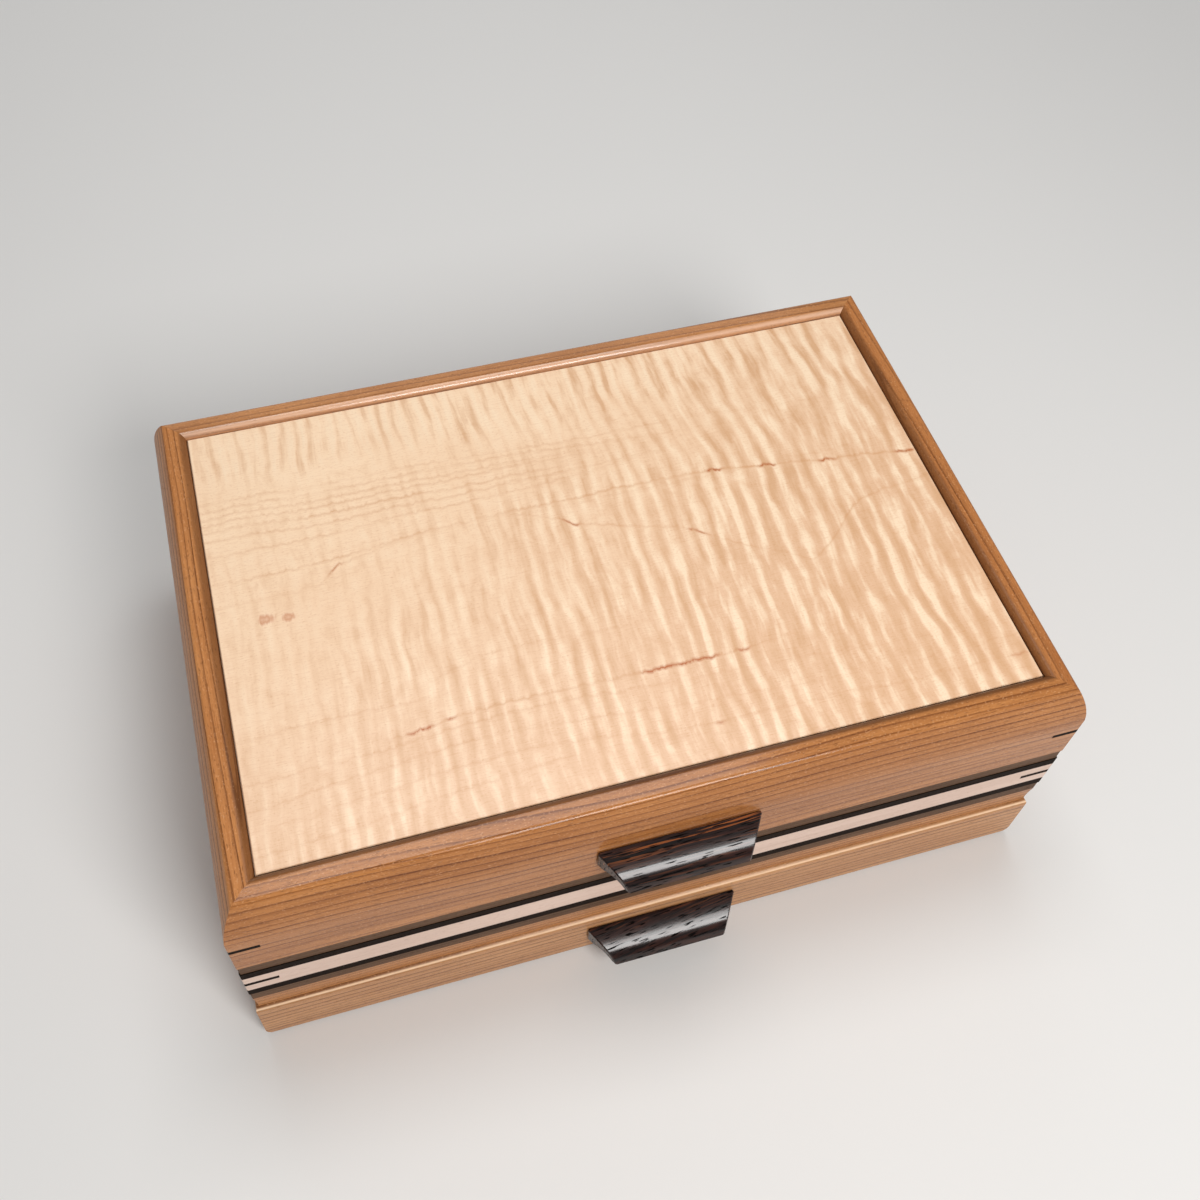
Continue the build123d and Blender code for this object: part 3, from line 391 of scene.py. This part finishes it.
def makeCurlyMaple(name):
    look, curls = panelLook, curlLook
    finish = Finish(name, look["roughness"], Coat_Weight=look["coat"], Coat_Roughness=look["coatRoughness"])
    x, y, z = finish.millimetres()
    fromEnd = x / (2 * look["halfWidth"]) + 0.5

    def lumps(key):
        long, wide, level, *settings = curls["layers"][key]
        return finish.noise((x, y, level), (long, wide, 1), *settings)

    def levelled(key, value):
        return finish.ramp(value, *curls["levels"][key])

    def curlNoise(key, *settings):
        count, length, level = curls[key]
        return finish.noise((turns * count, y, level), (1, length, 1), *settings)

    # curls: upright bands across the grain, finer to the left, that fork and break off
    lean, fork = lumps("lean"), lumps("fork")
    fromLeft = x + look["halfWidth"] + swing(lean, curls["lean"]) + swing(fork, curls["fork"])
    slower = (1 / curls["pitchLeft"] - 1 / curls["pitchRight"]) / (4 * look["halfWidth"])
    turns = fromLeft * (1 / curls["pitchLeft"]) - fromLeft * fromLeft * slower
    angle = (turns + lumps("beat") * curls["beat"]) * curls["fullTurn"]
    wave = finish.add("Math", {"operation": "SINE"}, Value=angle)
    bands, ripples = curlNoise("bandCut", 1.0, 0.4), curlNoise("rippleCut", 2.0, 0.5)
    topStrip = levelled("topStrip", y / look["halfDepth"])
    strength = curls["strengthMiddle"] + x / curls["strengthReach"] + topStrip * curls["stripStrength"]
    strength = levelled("strength", strength + swing(lumps("where"), curls["strengthSwing"]))
    lined = levelled("linedAcross", abs(y - curls["linedAt"]) / curls["linedReach"])
    lined = lined * levelled("linedAlong", fromEnd)
    curl = wave * curls["wave"] + swing(bands, curls["bands"]) + swing(ripples, curls["ripples"])
    curl = curl * strength * (1.0 - lined) + swing(lumps("mottle"), curls["mottle"])

    # growth lines jog wherever a curl crosses them, and are worn away in places
    jog = swing(lumps("sag"), curls["sagJog"]) + swing(bands, curls["bandJog"]) + swing(ripples, curls["rippleJog"])
    lines, marks = drawGrowthLines(finish, x, y, jog)
    worn = levelled("worn", lumps("worn"))
    fibres = finish.noise((x, y, z), curls["fibres"], 3.0, 0.65)
    grit = finish.noise((x, y, z), curls["grit"], 1.0)
    tint = lumps("tint")
    # painted light: paler towards the back and the left, where the light falls more brightly, broken up by the tint;
    # the curls are fainter in the back-left corner
    paler = y / curls["palerAcross"] - x / curls["palerAlong"] + curls["palerMiddle"]
    paleCorner = topStrip * levelled("corner", fromEnd)
    colour = finish.layer(look["base"], look, [
        ("pale", levelled("paler", paler + swing(tint, curls["palerSwing"]))),
        ("light", levelled("light", curl)),
        ("curl", levelled("curl", 0.0 - curl) * (1.0 - paleCorner * curls["cornerPaler"])),
        ("line", lines * worn * look["lineStrength"]),
        ("stain", levelled("stain", tint)),
        ("line", levelled("fibres", fibres)),
        ("line", levelled("grit", grit)),
        ("mark", marks * levelled("mark", ripples) * look["markStrength"]),
    ])
    for knotX, knotY, knotRadius in look["knots"]:
        offX, offY = (x - knotX) / curls["knotLength"], y - knotY
        near = (offX * offX + offY * offY) ** 0.5 / knotRadius + swing(ripples, curls["knotSwing"])
        colour = finish.mix(levelled("knot", near), colour, look["knot"])
    finish.feed("Base Color", colour)
    finish.feed("Roughness", look["roughness"] - curl * curls["curlRough"] + swing(fibres, curls["fibreRough"]))
    finish.bump(curl + swing(fibres, curls["fibreHeight"]), look["relief"])
    return finish.material


pullLook = {
    "dark": paint(18, 9, 8), "brown": paint(52, 23, 15), "streak": paint(150, 82, 36), "pore": paint(4, 2, 2),
    "roughness": 0.3, "gloss": 0.06, "coat": 0.85, "coatRoughness": 0.16, "relief": 0.0002,
    "nearFrom": -104.0, "nearReach": 16.0,        # streaks show most close to the chest's front
    "wander": (24.0, 6.0, 6.0), "wanderSize": 2.0, "layers": (46.0, 1.1, 1.6), "streaks": (30.0, 0.62, 1.2),
    "pores": (5.2, 0.42, 0.9), "poreDepth": 0.95, "tiltUp": 0.8, "tiltBack": 0.25,
    "nearLevels": ((0.15, 1.0), (0.5, 0.15)), "poreLevels": ((0.66, 0.0), (0.71, 1.0)),
    "streakLevels": ((0.54, 0.0), (0.64, 1.0)), "brownFrom": 0.4, "brownTo": 0.62,
    "poreRough": 0.5, "layerRough": 0.15, "streakCoat": 0.3, "layerHeight": 0.3,
}


def makePullWood(name, slope, streakDepth, redness):
    # coarse dark wood: fine layers along the pull, with long open pores
    look = pullLook
    finish = Finish(name, look["roughness"], Specular_IOR_Level=look["gloss"],
                    Coat_Roughness=look["coatRoughness"])
    x, y, z = finish.millimetres()
    along = x + y * slope
    side = y - x * slope
    deep = z * look["tiltUp"] + y * look["tiltBack"]
    wander = finish.noise((along, side, deep), look["wander"], 1.0)
    wavy = (along, side + wander * look["wanderSize"], deep)
    layers = finish.noise(wavy, look["layers"], 3.0, 0.6)
    streaks = finish.noise(wavy, look["streaks"], 2.0, 0.6)
    nearFace = finish.ramp((look["nearFrom"] - y) / look["nearReach"], *look["nearLevels"])
    pores = finish.noise((along, side, deep), look["pores"], 0.0)
    pore = finish.ramp(pores, *look["poreLevels"])
    finish.feed("Base Color", finish.layer(look["dark"], look, [
        ("brown", finish.ramp(layers, (look["brownFrom"], 0.0), (look["brownTo"], redness))),
        ("streak", finish.ramp(streaks, *look["streakLevels"]) * nearFace * streakDepth),
        ("pore", pore * look["poreDepth"]),
    ]))
    finish.feed("Roughness", look["roughness"] + pore * look["poreRough"] + swing(layers, look["layerRough"]))
    finish.feed("Coat Weight", (1.0 - pore) * look["coat"] + swing(streaks, look["streakCoat"]))
    finish.bump(layers * look["layerHeight"] - pore, look["relief"])
    return finish.material


plywoodLook = {
    "light": paint(222, 196, 156), "dark": paint(196, 162, 118), "ply": paint(168, 130, 90),
    "face": (70.0, 2.2, 3.0), "faceLevels": ((0.3, 0.0), (0.75, 1.0)), "faceRough": 0.15,
    "plyPair": 0.6, "plyDepth": 0.25, "plyLevels": ((0.0, 0.0), (0.45, 0.0), (0.55, 1.0), (1.0, 1.0)),
    "roughness": 0.55, "relief": 0.00008,
}


def makePlywood(name):
    look = plywoodLook
    finish = Finish(name, look["roughness"])
    x, y, z = finish.millimetres()
    face = finish.noise((x, y, z), look["face"], 3.0, 0.6)
    plies = finish.ramp((z / look["plyPair"]) % 1.0, *look["plyLevels"])
    finish.feed("Base Color", finish.layer(look["light"], look, [
        ("dark", finish.ramp(face, *look["faceLevels"])),
        ("ply", plies * look["plyDepth"]),
    ]))
    finish.feed("Roughness", look["roughness"] + face * look["faceRough"])
    finish.bump(face, look["relief"])
    return finish.material


def makeNapFinish(name, look):
    # the soft sheen that suede and felt share
    return Finish(name, look["roughness"], Specular_IOR_Level=look["gloss"], Sheen_Weight=look["sheenWeight"],
                  Sheen_Roughness=look["sheenRoughness"], Sheen_Tint=look["sheen"])


suedeLook = {
    "base": paint(62, 43, 33), "brushed": paint(84, 60, 46), "deep": paint(42, 28, 21),
    "brush": (22.0, 30.0, 22.0), "brushLevels": ((0.38, 0.0), (0.66, 0.8)), "brushHeight": 0.6,
    "nap": (0.45, 0.6, 0.45), "napLevels": ((0.42, 0.0), (0.7, 0.7)), "napRough": 0.12,
    "roughness": 0.86, "gloss": 0.15, "relief": 0.00022,
    "sheen": paint(150, 110, 84), "sheenWeight": 0.3, "sheenRoughness": 0.45,
}


def makeSuede(name):
    look = suedeLook
    finish = makeNapFinish(name, look)
    place = finish.millimetres()
    brushed = finish.noise(place, look["brush"], 3.0, 0.6)
    nap = finish.noise(place, look["nap"], 3.0, 0.7)
    finish.feed("Base Color", finish.layer(look["base"], look, [
        ("brushed", finish.ramp(brushed, *look["brushLevels"])),
        ("deep", finish.ramp(nap, *look["napLevels"])),
    ]))
    finish.feed("Roughness", look["roughness"] + nap * look["napRough"])
    finish.bump(nap + brushed * look["brushHeight"], look["relief"])
    return finish.material


feltLook = {
    "base": paint(48, 37, 31), "wisp": paint(76, 61, 51), "patch": paint(38, 30, 26),
    "wisps": (1.3, 0.9, 0.9), "wispLevels": ((0.35, 0.0), (0.65, 1.0)), "wispRough": 0.1,
    "patches": (24.0, 18.0, 18.0), "patchLevels": ((0.4, 0.0), (0.7, 0.3)),
    "roughness": 0.88, "gloss": 0.1, "relief": 0.0003,
    "sheen": paint(140, 110, 90), "sheenWeight": 0.3, "sheenRoughness": 0.6,
}


def makeFelt(name):
    look = feltLook
    finish = makeNapFinish(name, look)
    place = finish.millimetres()
    wisps = finish.noise(place, look["wisps"], 4.0, 0.75, 1.2)
    patches = finish.noise(place, look["patches"], 2.0)
    finish.feed("Base Color", finish.layer(look["base"], look, [
        ("wisp", finish.ramp(wisps, *look["wispLevels"])),
        ("patch", finish.ramp(patches, *look["patchLevels"])),
    ]))
    finish.feed("Roughness", look["roughness"] + wisps * look["wispRough"])
    finish.bump(wisps, look["relief"])
    return finish.material


brassLook = {
    "bright": paint(212, 186, 134), "tarnish": paint(178, 146, 96), "spot": paint(128, 94, 54),
    "brushing": (6.0, 0.16, 0.16), "brushingRough": 0.16,
    "stain": (12.0, 9.0, 9.0), "stainLevels": ((0.38, 0.0), (0.72, 0.6)), "stainRough": 0.1,
    "spots": (1.4, 1.4, 1.4), "spotLevels": ((0.6, 0.0), (0.75, 0.4)),
    "roughness": 0.24, "relief": 0.00002,
}


def makeBrass(name):
    look = brassLook
    finish = Finish(name, look["roughness"], Metallic=1.0)
    place = finish.millimetres()
    brushing = finish.noise(place, look["brushing"], 2.0, 0.6)
    tarnish = finish.noise(place, look["stain"], 3.0, 0.5)
    spots = finish.noise(place, look["spots"], 2.0, 0.6)
    finish.feed("Base Color", finish.layer(look["bright"], look, [
        ("tarnish", finish.ramp(tarnish, *look["stainLevels"])),
        ("spot", finish.ramp(spots, *look["spotLevels"])),
    ]))
    finish.feed("Roughness", look["roughness"] + brushing * look["brushingRough"] + tarnish * look["stainRough"])
    finish.bump(brushing, look["relief"])
    return finish.material


def dress(nodeName, material):
    mesh = nodes[nodeName].data
    mesh.materials.clear()
    mesh.materials.append(material)


boardDice = random.Random(31)


def dressBoard(nodeName, woodName, look, grain, pith, **more):
    # every board comes from a place of its own in the trunk
    shift = (boardDice.uniform(-900, 900), boardDice.uniform(-25, 25), boardDice.uniform(-25, 25))
    dress(nodeName, makeBoardWood(woodName, look, grain, shift, pith, **more))


# the lid's rails: look, grain, pith, bow and the edge round the panel, painted shade on three rails and a painted
# highlight on the back; the left rail's look is painted lighter and the front and right rails' looks darker, to even
# out how the light falls on each side, and the walls take the same looks
rails = {
    "front": {
        "look": dict(cherryLook, light=paint(196, 131, 74), middle=paint(160, 99, 51), dark=paint(108, 56, 22),
                     ringDepth=0.95, coat=0.5, coatRoughness=0.14),
        "grain": "x", "pith": (-170.0, 30.0), "bow": (0.00009, 60.0), "arris": (91.2, 0.85, "pooled"),
    },
    "back": {
        "look": dict(cherryLook, coat=0.8, coatRoughness=0.12),
        "grain": "x", "pith": (170.0, 20.0), "bow": (0.00008, -40.0), "arris": (91.2, 0.6, "polished"),
    },
    "left": {
        "look": dict(cherryLook, light=paint(216, 148, 90), middle=paint(184, 118, 66), coat=0.15),
        "grain": "y", "pith": (-190.0, 40.0), "bow": (0.0001, 40.0), "arris": (138.2, 0.7, "pooled"),
    },
    "right": {
        "look": dict(cherryLook, light=paint(194, 128, 74), middle=paint(162, 99, 53), coat=0.15),
        "grain": "y", "pith": (190.0, 20.0), "bow": (0.0001, -30.0), "arris": (138.2, 0.6, "pooled"),
    },
}

stripPith = (10.0, -30.0)
for side, rail in rails.items():
    grain = rail["grain"]
    dressBoard(f"lid_rail_{side}", f"cherryLid_{side}", rail["look"], grain, rail["pith"],
               bow=rail["bow"], arris=rail["arris"])
    dressBoard(f"maple_band_{side}", f"mapleBand_{side}", bandLook, grain, (20.0, -40.0))
    dressBoard(f"wenge_strips_{side}", f"wengeStrip_{side}", wengeLook, grain, stripPith)
    dressBoard(f"walnut_strips_{side}", f"walnutStrip_{side}", walnutLook, grain, stripPith)
    if side != "front":
        dressBoard(f"case_wall_{side}", f"cherryWall_{side}", rail["look"], grain, rail["pith"])
dressBoard("case_header_front", "cherryHeader", cherryLook, "x", (-40.0, -40.0))
# the drawer front's top arris carries a painted highlight
dressBoard("drawer_front", "cherryDrawerFront", drawerLook, "x", (-70.0, -60.0),
           bow=(-0.00006, -20.0), worn=(28.9, 106.1, 104.0))
dress("lid_panel", makeCurlyMaple("curlyMaple"))
for nodeName in ("lid_corner_splines", "band_corner_splines"):
    dressBoard(nodeName, nodeName + "Wood", wengeLook, "x", stripPith)
dress("lid_pull", makePullWood("lidPullWood", slope=0.02, streakDepth=1.0, redness=0.75))
dress("drawer_pull", makePullWood("drawerPullWood", slope=0.14, streakDepth=0.25, redness=1.0))

suede = makeSuede("suede")
plywood = makePlywood("plywood")
brass = makeBrass("brass")
felt = makeFelt("felt")
for nodeName in nodes:
    if nodeName.endswith("_lining"):
        dress(nodeName, suede)
    elif nodeName in ("case_bottom", "compartment_floor", "drawer_bottom", "tray_bottom"):
        dress(nodeName, plywood)
    elif nodeName.startswith("hinge_"):
        dress(nodeName, brass)
dress("base_felt", felt)
innerBoards = {
    "drawer_side_left": "y", "drawer_side_right": "y", "drawer_back": "x", "drawer_divider_long": "x",
    "drawer_dividers_cross": "y", "drawer_runner_left": "y", "drawer_runner_right": "y",
    "tray_front": "x", "tray_back": "x", "tray_left": "y", "tray_right": "y", "tray_divider_wide": "x",
    "tray_divider_short": "y", "tray_ledge_front": "x", "tray_ledge_back": "x", "well_divider": "y",
}
for nodeName, grain in innerBoards.items():
    dressBoard(nodeName, nodeName + "Wood", innerLook, grain, (30.0, -50.0))
print("materials assigned")


def addPiece(name, form, material, body, slot, *replaced):
    mesh = bpy.data.meshes.new(name)
    bmesh.ops.recalc_face_normals(form, faces=form.faces[:])
    form.to_mesh(mesh)
    form.free()
    for polygon in mesh.polygons:
        polygon.use_smooth = True
    mesh.materials.append(material)
    piece = bpy.data.objects.new(name, mesh)
    bpy.context.scene.collection.objects.link(piece)
    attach(piece, body)
    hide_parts(*replaced)
    return piece


tiny = 1e-6              # a length that counts as nought
sharp = 1.0              # the angle in radians past which an edge is a corner


def roundOff(form, edges, offset, segments):
    bmesh.ops.bevel(form, geom=edges, offset=offset, offset_type="OFFSET", affect="EDGES",
                    segments=segments, profile=0.5, material=-1)


liningLook = {"edge": 0.0006, "edgeSegments": 3, "cell": 0.008, "dimple": 0.00012}


def makeLining(name, nodeName, body, slot, material, showsBelow=False):
    # cloth laid on its board, with a rolled edge and a slightly uneven face
    look = liningLook
    low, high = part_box(nodeName)
    size, middle = high - low, (low + high) / 2
    dice = random.Random(nodeName)
    form = bmesh.new()
    bmesh.ops.create_grid(form, size=0.5, x_segments=round(size.x / look["cell"]),
                          y_segments=round(size.y / look["cell"]))
    bmesh.ops.scale(form, vec=(size.x, size.y, 1.0), verts=form.verts)
    grown = bmesh.ops.extrude_face_region(form, geom=form.faces[:], use_keep_orig=True)
    face = [part for part in grown["geom"] if isinstance(part, bmesh.types.BMVert)]
    bmesh.ops.translate(form, vec=(0, 0, size.z), verts=face)
    bmesh.ops.recalc_face_normals(form, faces=form.faces[:])
    faceVerts = set(face)
    rim = [e for e in form.edges if faceVerts.issuperset(e.verts) and e.calc_face_angle(0) > sharp]
    roundOff(form, rim, look["edge"], look["edgeSegments"])
    innerX, innerY = (size.x - look["cell"]) / 2, (size.y - look["cell"]) / 2
    for vert in form.verts:
        if vert.co.z > size.z - tiny and abs(vert.co.x) < innerX and abs(vert.co.y) < innerY:
            vert.co.z -= dice.random() * look["dimple"]
    if showsBelow:
        bmesh.ops.scale(form, vec=(1, 1, -1), verts=form.verts)
    bmesh.ops.translate(form, vec=(middle.x, middle.y, high.z if showsBelow else low.z), verts=form.verts)
    piece = addPiece(name, form, material, body, slot, nodeName)


makeLining("compartmentSuede", "compartment_lining", "case", "suede", suede)
makeLining("drawerSuede", "drawer_lining", "drawer", "suede", suede)
makeLining("traySuede", "tray_lining", "tray", "suede", suede)
makeLining("lidSuede", "lid_lining", "lid", "suede", suede, True)
makeLining("baseFelt", "base_felt", "case", "felt", felt, True)
print("linings made")


rollLook = {
    "count": 5, "gap": 0.0006, "inset": 0.0007, "shoulder": 0.0077, "shoulderSegments": 7,
    "endShoulder": 0.003, "endSegments": 3, "voxel": 0.0017, "uneven": 0.0001,
    "pressure": 4.0, "slack": 0.1, "mass": 0.2, "quality": 6, "frames": 18,
    "mostMove": 0.0009, "smoothing": 0.4, "fill": 0.9,
}


def rollBar(size):
    # one stuffed bar, flat below and round above
    look = rollLook
    form = bmesh.new()
    bmesh.ops.create_cube(form, size=1.0)
    bmesh.ops.scale(form, vec=size, verts=form.verts)

    def length(edge):
        return abs(edge.verts[0].co.x - edge.verts[1].co.x)

    shoulders = [e for e in form.edges if length(e) > size.x / 2 and e.verts[0].co.z > 0]
    roundOff(form, shoulders, look["shoulder"], look["shoulderSegments"])
    ends = [e for e in form.edges if length(e) < tiny and e.calc_face_angle(0) > sharp]
    rims = [e for e in ends if max(vert.co.z for vert in e.verts) > tiny - size.z / 2]
    roundOff(form, rims, look["endShoulder"], look["endSegments"])
    return form


def bakedMesh(piece):
    # the mesh as the modifiers leave it
    return bpy.data.meshes.new_from_object(piece.evaluated_get(bpy.context.evaluated_depsgraph_get()))


def inflateRolls(maker):
    # cloth swells under pressure, with a little more cloth than filling, so that it creases at the ends
    look = rollLook
    cloth = maker.modifiers.new("cloth", "CLOTH")
    cloth.settings.quality = look["quality"]
    cloth.settings.mass = look["mass"]
    cloth.settings.use_pressure = True
    cloth.settings.uniform_pressure_force = look["pressure"]
    cloth.settings.shrink_min = -look["slack"]
    cloth.settings.effector_weights.gravity = 0.0
    cloth.point_cache.frame_end = look["frames"]
    scene = bpy.context.scene
    for frameNumber in range(1, look["frames"] + 1):
        scene.frame_set(frameNumber)
    maker.data = bakedMesh(maker)
    maker.modifiers.clear()
    scene.frame_set(1)


def makeRolls():
    look = rollLook
    low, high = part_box("ring_rolls")
    pitch = (high.y - low.y + look["gap"]) / look["count"]
    inset = look["inset"]
    size = Vector((high.x - low.x - 2 * inset, pitch - look["gap"] - 2 * inset, high.z - low.z - inset))
    start = bpy.data.meshes.new("rollStart")
    form = rollBar(size)
    form.to_mesh(start)
    form.free()
    maker = bpy.data.objects.new("rollMaker", start)
    bpy.context.scene.collection.objects.link(maker)
    remesh = maker.modifiers.new("voxels", "REMESH")
    remesh.mode = "VOXEL"
    remesh.voxel_size = look["voxel"]
    oneBar = bakedMesh(maker)
    maker.modifiers.clear()

    # the same bar again in each of the five places, a little different every time
    form = bmesh.new()
    for index in range(look["count"]):
        known = len(form.verts)
        form.from_mesh(oneBar)
        form.verts.ensure_lookup_table()
        middleY = low.y + (index + 0.5) * pitch - look["gap"] / 2
        place = Vector(((low.x + high.x) / 2, middleY, low.z + size.z / 2))
        bmesh.ops.translate(form, vec=place, verts=form.verts[known:])
    dice = random.Random(5)
    for vert in form.verts:
        vert.co += Vector([dice.uniform(-1, 1) for _ in range(3)]) * look["uneven"]
    form.to_mesh(start)
    form.free()
    before = [vert.co.copy() for vert in start.vertices]
    inflateRolls(maker)

    form = bmesh.new()
    form.from_mesh(maker.data)
    for vert, old in zip(form.verts, before):
        # a point moves only a little, and keeps to its own bar's room
        move = vert.co - old
        if move.length > look["mostMove"]:
            vert.co = old + move * (look["mostMove"] / move.length)
        lane = min(look["count"] - 1, int((old.y - low.y) / pitch))
        laneLow = low.y + lane * pitch
        vert.co.x = min(max(vert.co.x, low.x), high.x)
        vert.co.y = min(max(vert.co.y, laneLow), laneLow + pitch - look["gap"])
        vert.co.z = min(max(vert.co.z, low.z), high.z)
    bmesh.ops.smooth_vert(form, verts=form.verts, factor=look["smoothing"],
                          use_axis_x=True, use_axis_y=True, use_axis_z=True)
    bpy.data.objects.remove(maker)
    piece = addPiece("ringRolls", form, suede, "tray", "suede", "ring_rolls")
    smoother = piece.modifiers.new("smoother", "SUBSURF")
    smoother.levels = smoother.render_levels = 1


makeRolls()
print("ring rolls made")


cameraLook = {
    "place": (-0.1012, -0.2642, 0.5181),
    "right": (0.961398, -0.273666, 0.028641),
    "down": (-0.204185, -0.779310, -0.592439),
    "ahead": (0.184451, 0.563722, -0.805106),
    "focalPixels": 1332.0, "middlePixels": (556.9, 513.9), "framePixels": 1200,
    "sensorWidth": 36.0, "nearest": 0.01,
}


def makeCamera():
    look = cameraLook
    data = bpy.data.cameras.new("camera")
    camera = bpy.data.objects.new("camera", data)
    bpy.context.scene.collection.objects.link(camera)
    right, down, ahead = (Vector(look[key]) for key in ("right", "down", "ahead"))
    turn = Matrix((right, -down, -ahead)).transposed().to_4x4()
    camera.matrix_world = Matrix.Translation(look["place"]) @ turn
    size = look["framePixels"]
    data.sensor_width = look["sensorWidth"]
    data.lens = look["focalPixels"] * data.sensor_width / size
    data.shift_x = (size / 2 - look["middlePixels"][0]) / size
    data.shift_y = (look["middlePixels"][1] - size / 2) / size
    data.clip_start = look["nearest"]
    bpy.context.scene.camera = camera


floorLook = {
    "size": 12.0, "colour": paint(232, 231, 229), "mottle": paint(240, 239, 237), "mottleShare": 0.12,
    "mottleLumps": (140.0, 140.0, 1),
    "roughness": 0.8, "gloss": 0.2, "far": 0.66, "farColour": (1.0, 1.0, 0.99, 1.0),
    "nearEdge": 0.5, "farEdge": 1.6,
}


def makeFloor():
    look = floorLook
    form = bmesh.new()
    bmesh.ops.create_grid(form, x_segments=1, y_segments=1, size=look["size"] / 2)
    mesh = bpy.data.meshes.new("floor")
    form.to_mesh(mesh)
    form.free()
    floor = bpy.data.objects.new("floor", mesh)
    bpy.context.scene.collection.objects.link(floor)
    finish = Finish("floorPaper", look["roughness"], Specular_IOR_Level=look["gloss"])
    x, y, z = finish.millimetres()
    mottle = finish.noise((x, y, 0.5), look["mottleLumps"], 3.0)
    finish.feed("Base Color", finish.mix(mottle * look["mottleShare"], look["colour"], look["mottle"]))
    # far from the chest the floor pales into an even backdrop, seen directly and in reflections
    distance = (x * x + y * y) ** 0.5 / millimetresInMetre
    isFar = finish.add("MapRange", {"interpolation_type": "SMOOTHSTEP"}, Value=distance,
                       FromMin=look["nearEdge"], FromMax=look["farEdge"])
    fromCamera, fromGloss, fromGlass = (finish.add("LightPath", output=i) for i in (0, 3, 6))
    share = isFar * (fromCamera + fromGloss + fromGlass).calculate("MINIMUM", 1.0)
    glow = finish.add("Emission", Color=look["farColour"], Strength=look["far"])
    blend = finish.add("MixShader", Fac=share)
    tree = finish.tree
    tree.links.new(finish.shader.outputs[0], blend.socket.node.inputs[1])
    tree.links.new(glow.socket, blend.socket.node.inputs[2])
    tree.links.new(blend.socket, tree.nodes["Material Output"].inputs["Surface"])
    mesh.materials.append(finish.material)


lamps = {
    "frontSoftbox": {"place": (0.18, -0.74, 0.82), "size": (0.38, 0.4), "power": 6.8, "colour": (1.0, 0.985, 0.97)},
    "topSoftbox": {"place": (0.06, 0.24, 1.15), "size": (0.6, 0.45), "power": 4.3, "colour": (1.0, 1.0, 1.0)},
    "backFill": {"place": (0.1, 1.15, 0.6), "size": (1.0, 0.6), "power": 1.4, "colour": (1.0, 1.0, 1.0)},
}
lampTarget = Vector((0, 0, 0.05))
worldStrength = 0.24


def makeLamps():
    # soft boxes, all turned to the middle of the chest
    for name, look in lamps.items():
        data = bpy.data.lights.new(name, "AREA")
        data.shape = "RECTANGLE"
        data.size, data.size_y = look["size"]
        data.energy = look["power"]
        data.color = look["colour"]
        lamp = bpy.data.objects.new(name, data)
        bpy.context.scene.collection.objects.link(lamp)
        lamp.location = look["place"]
        lamp.rotation_euler = (lampTarget - Vector(look["place"])).to_track_quat("-Z", "Y").to_euler()


def makeWorld():
    world = bpy.data.worlds.new("studio")
    bpy.context.scene.world = world
    world.use_nodes = True
    background = world.node_tree.nodes["Background"]
    background.inputs["Color"].default_value = (1.0, 1.0, 1.0, 1.0)
    background.inputs["Strength"].default_value = worldStrength


makeCamera()
makeFloor()
makeWorld()
makeLamps()
bpy.context.scene.view_settings.view_transform = "Standard"
print("stage lit")
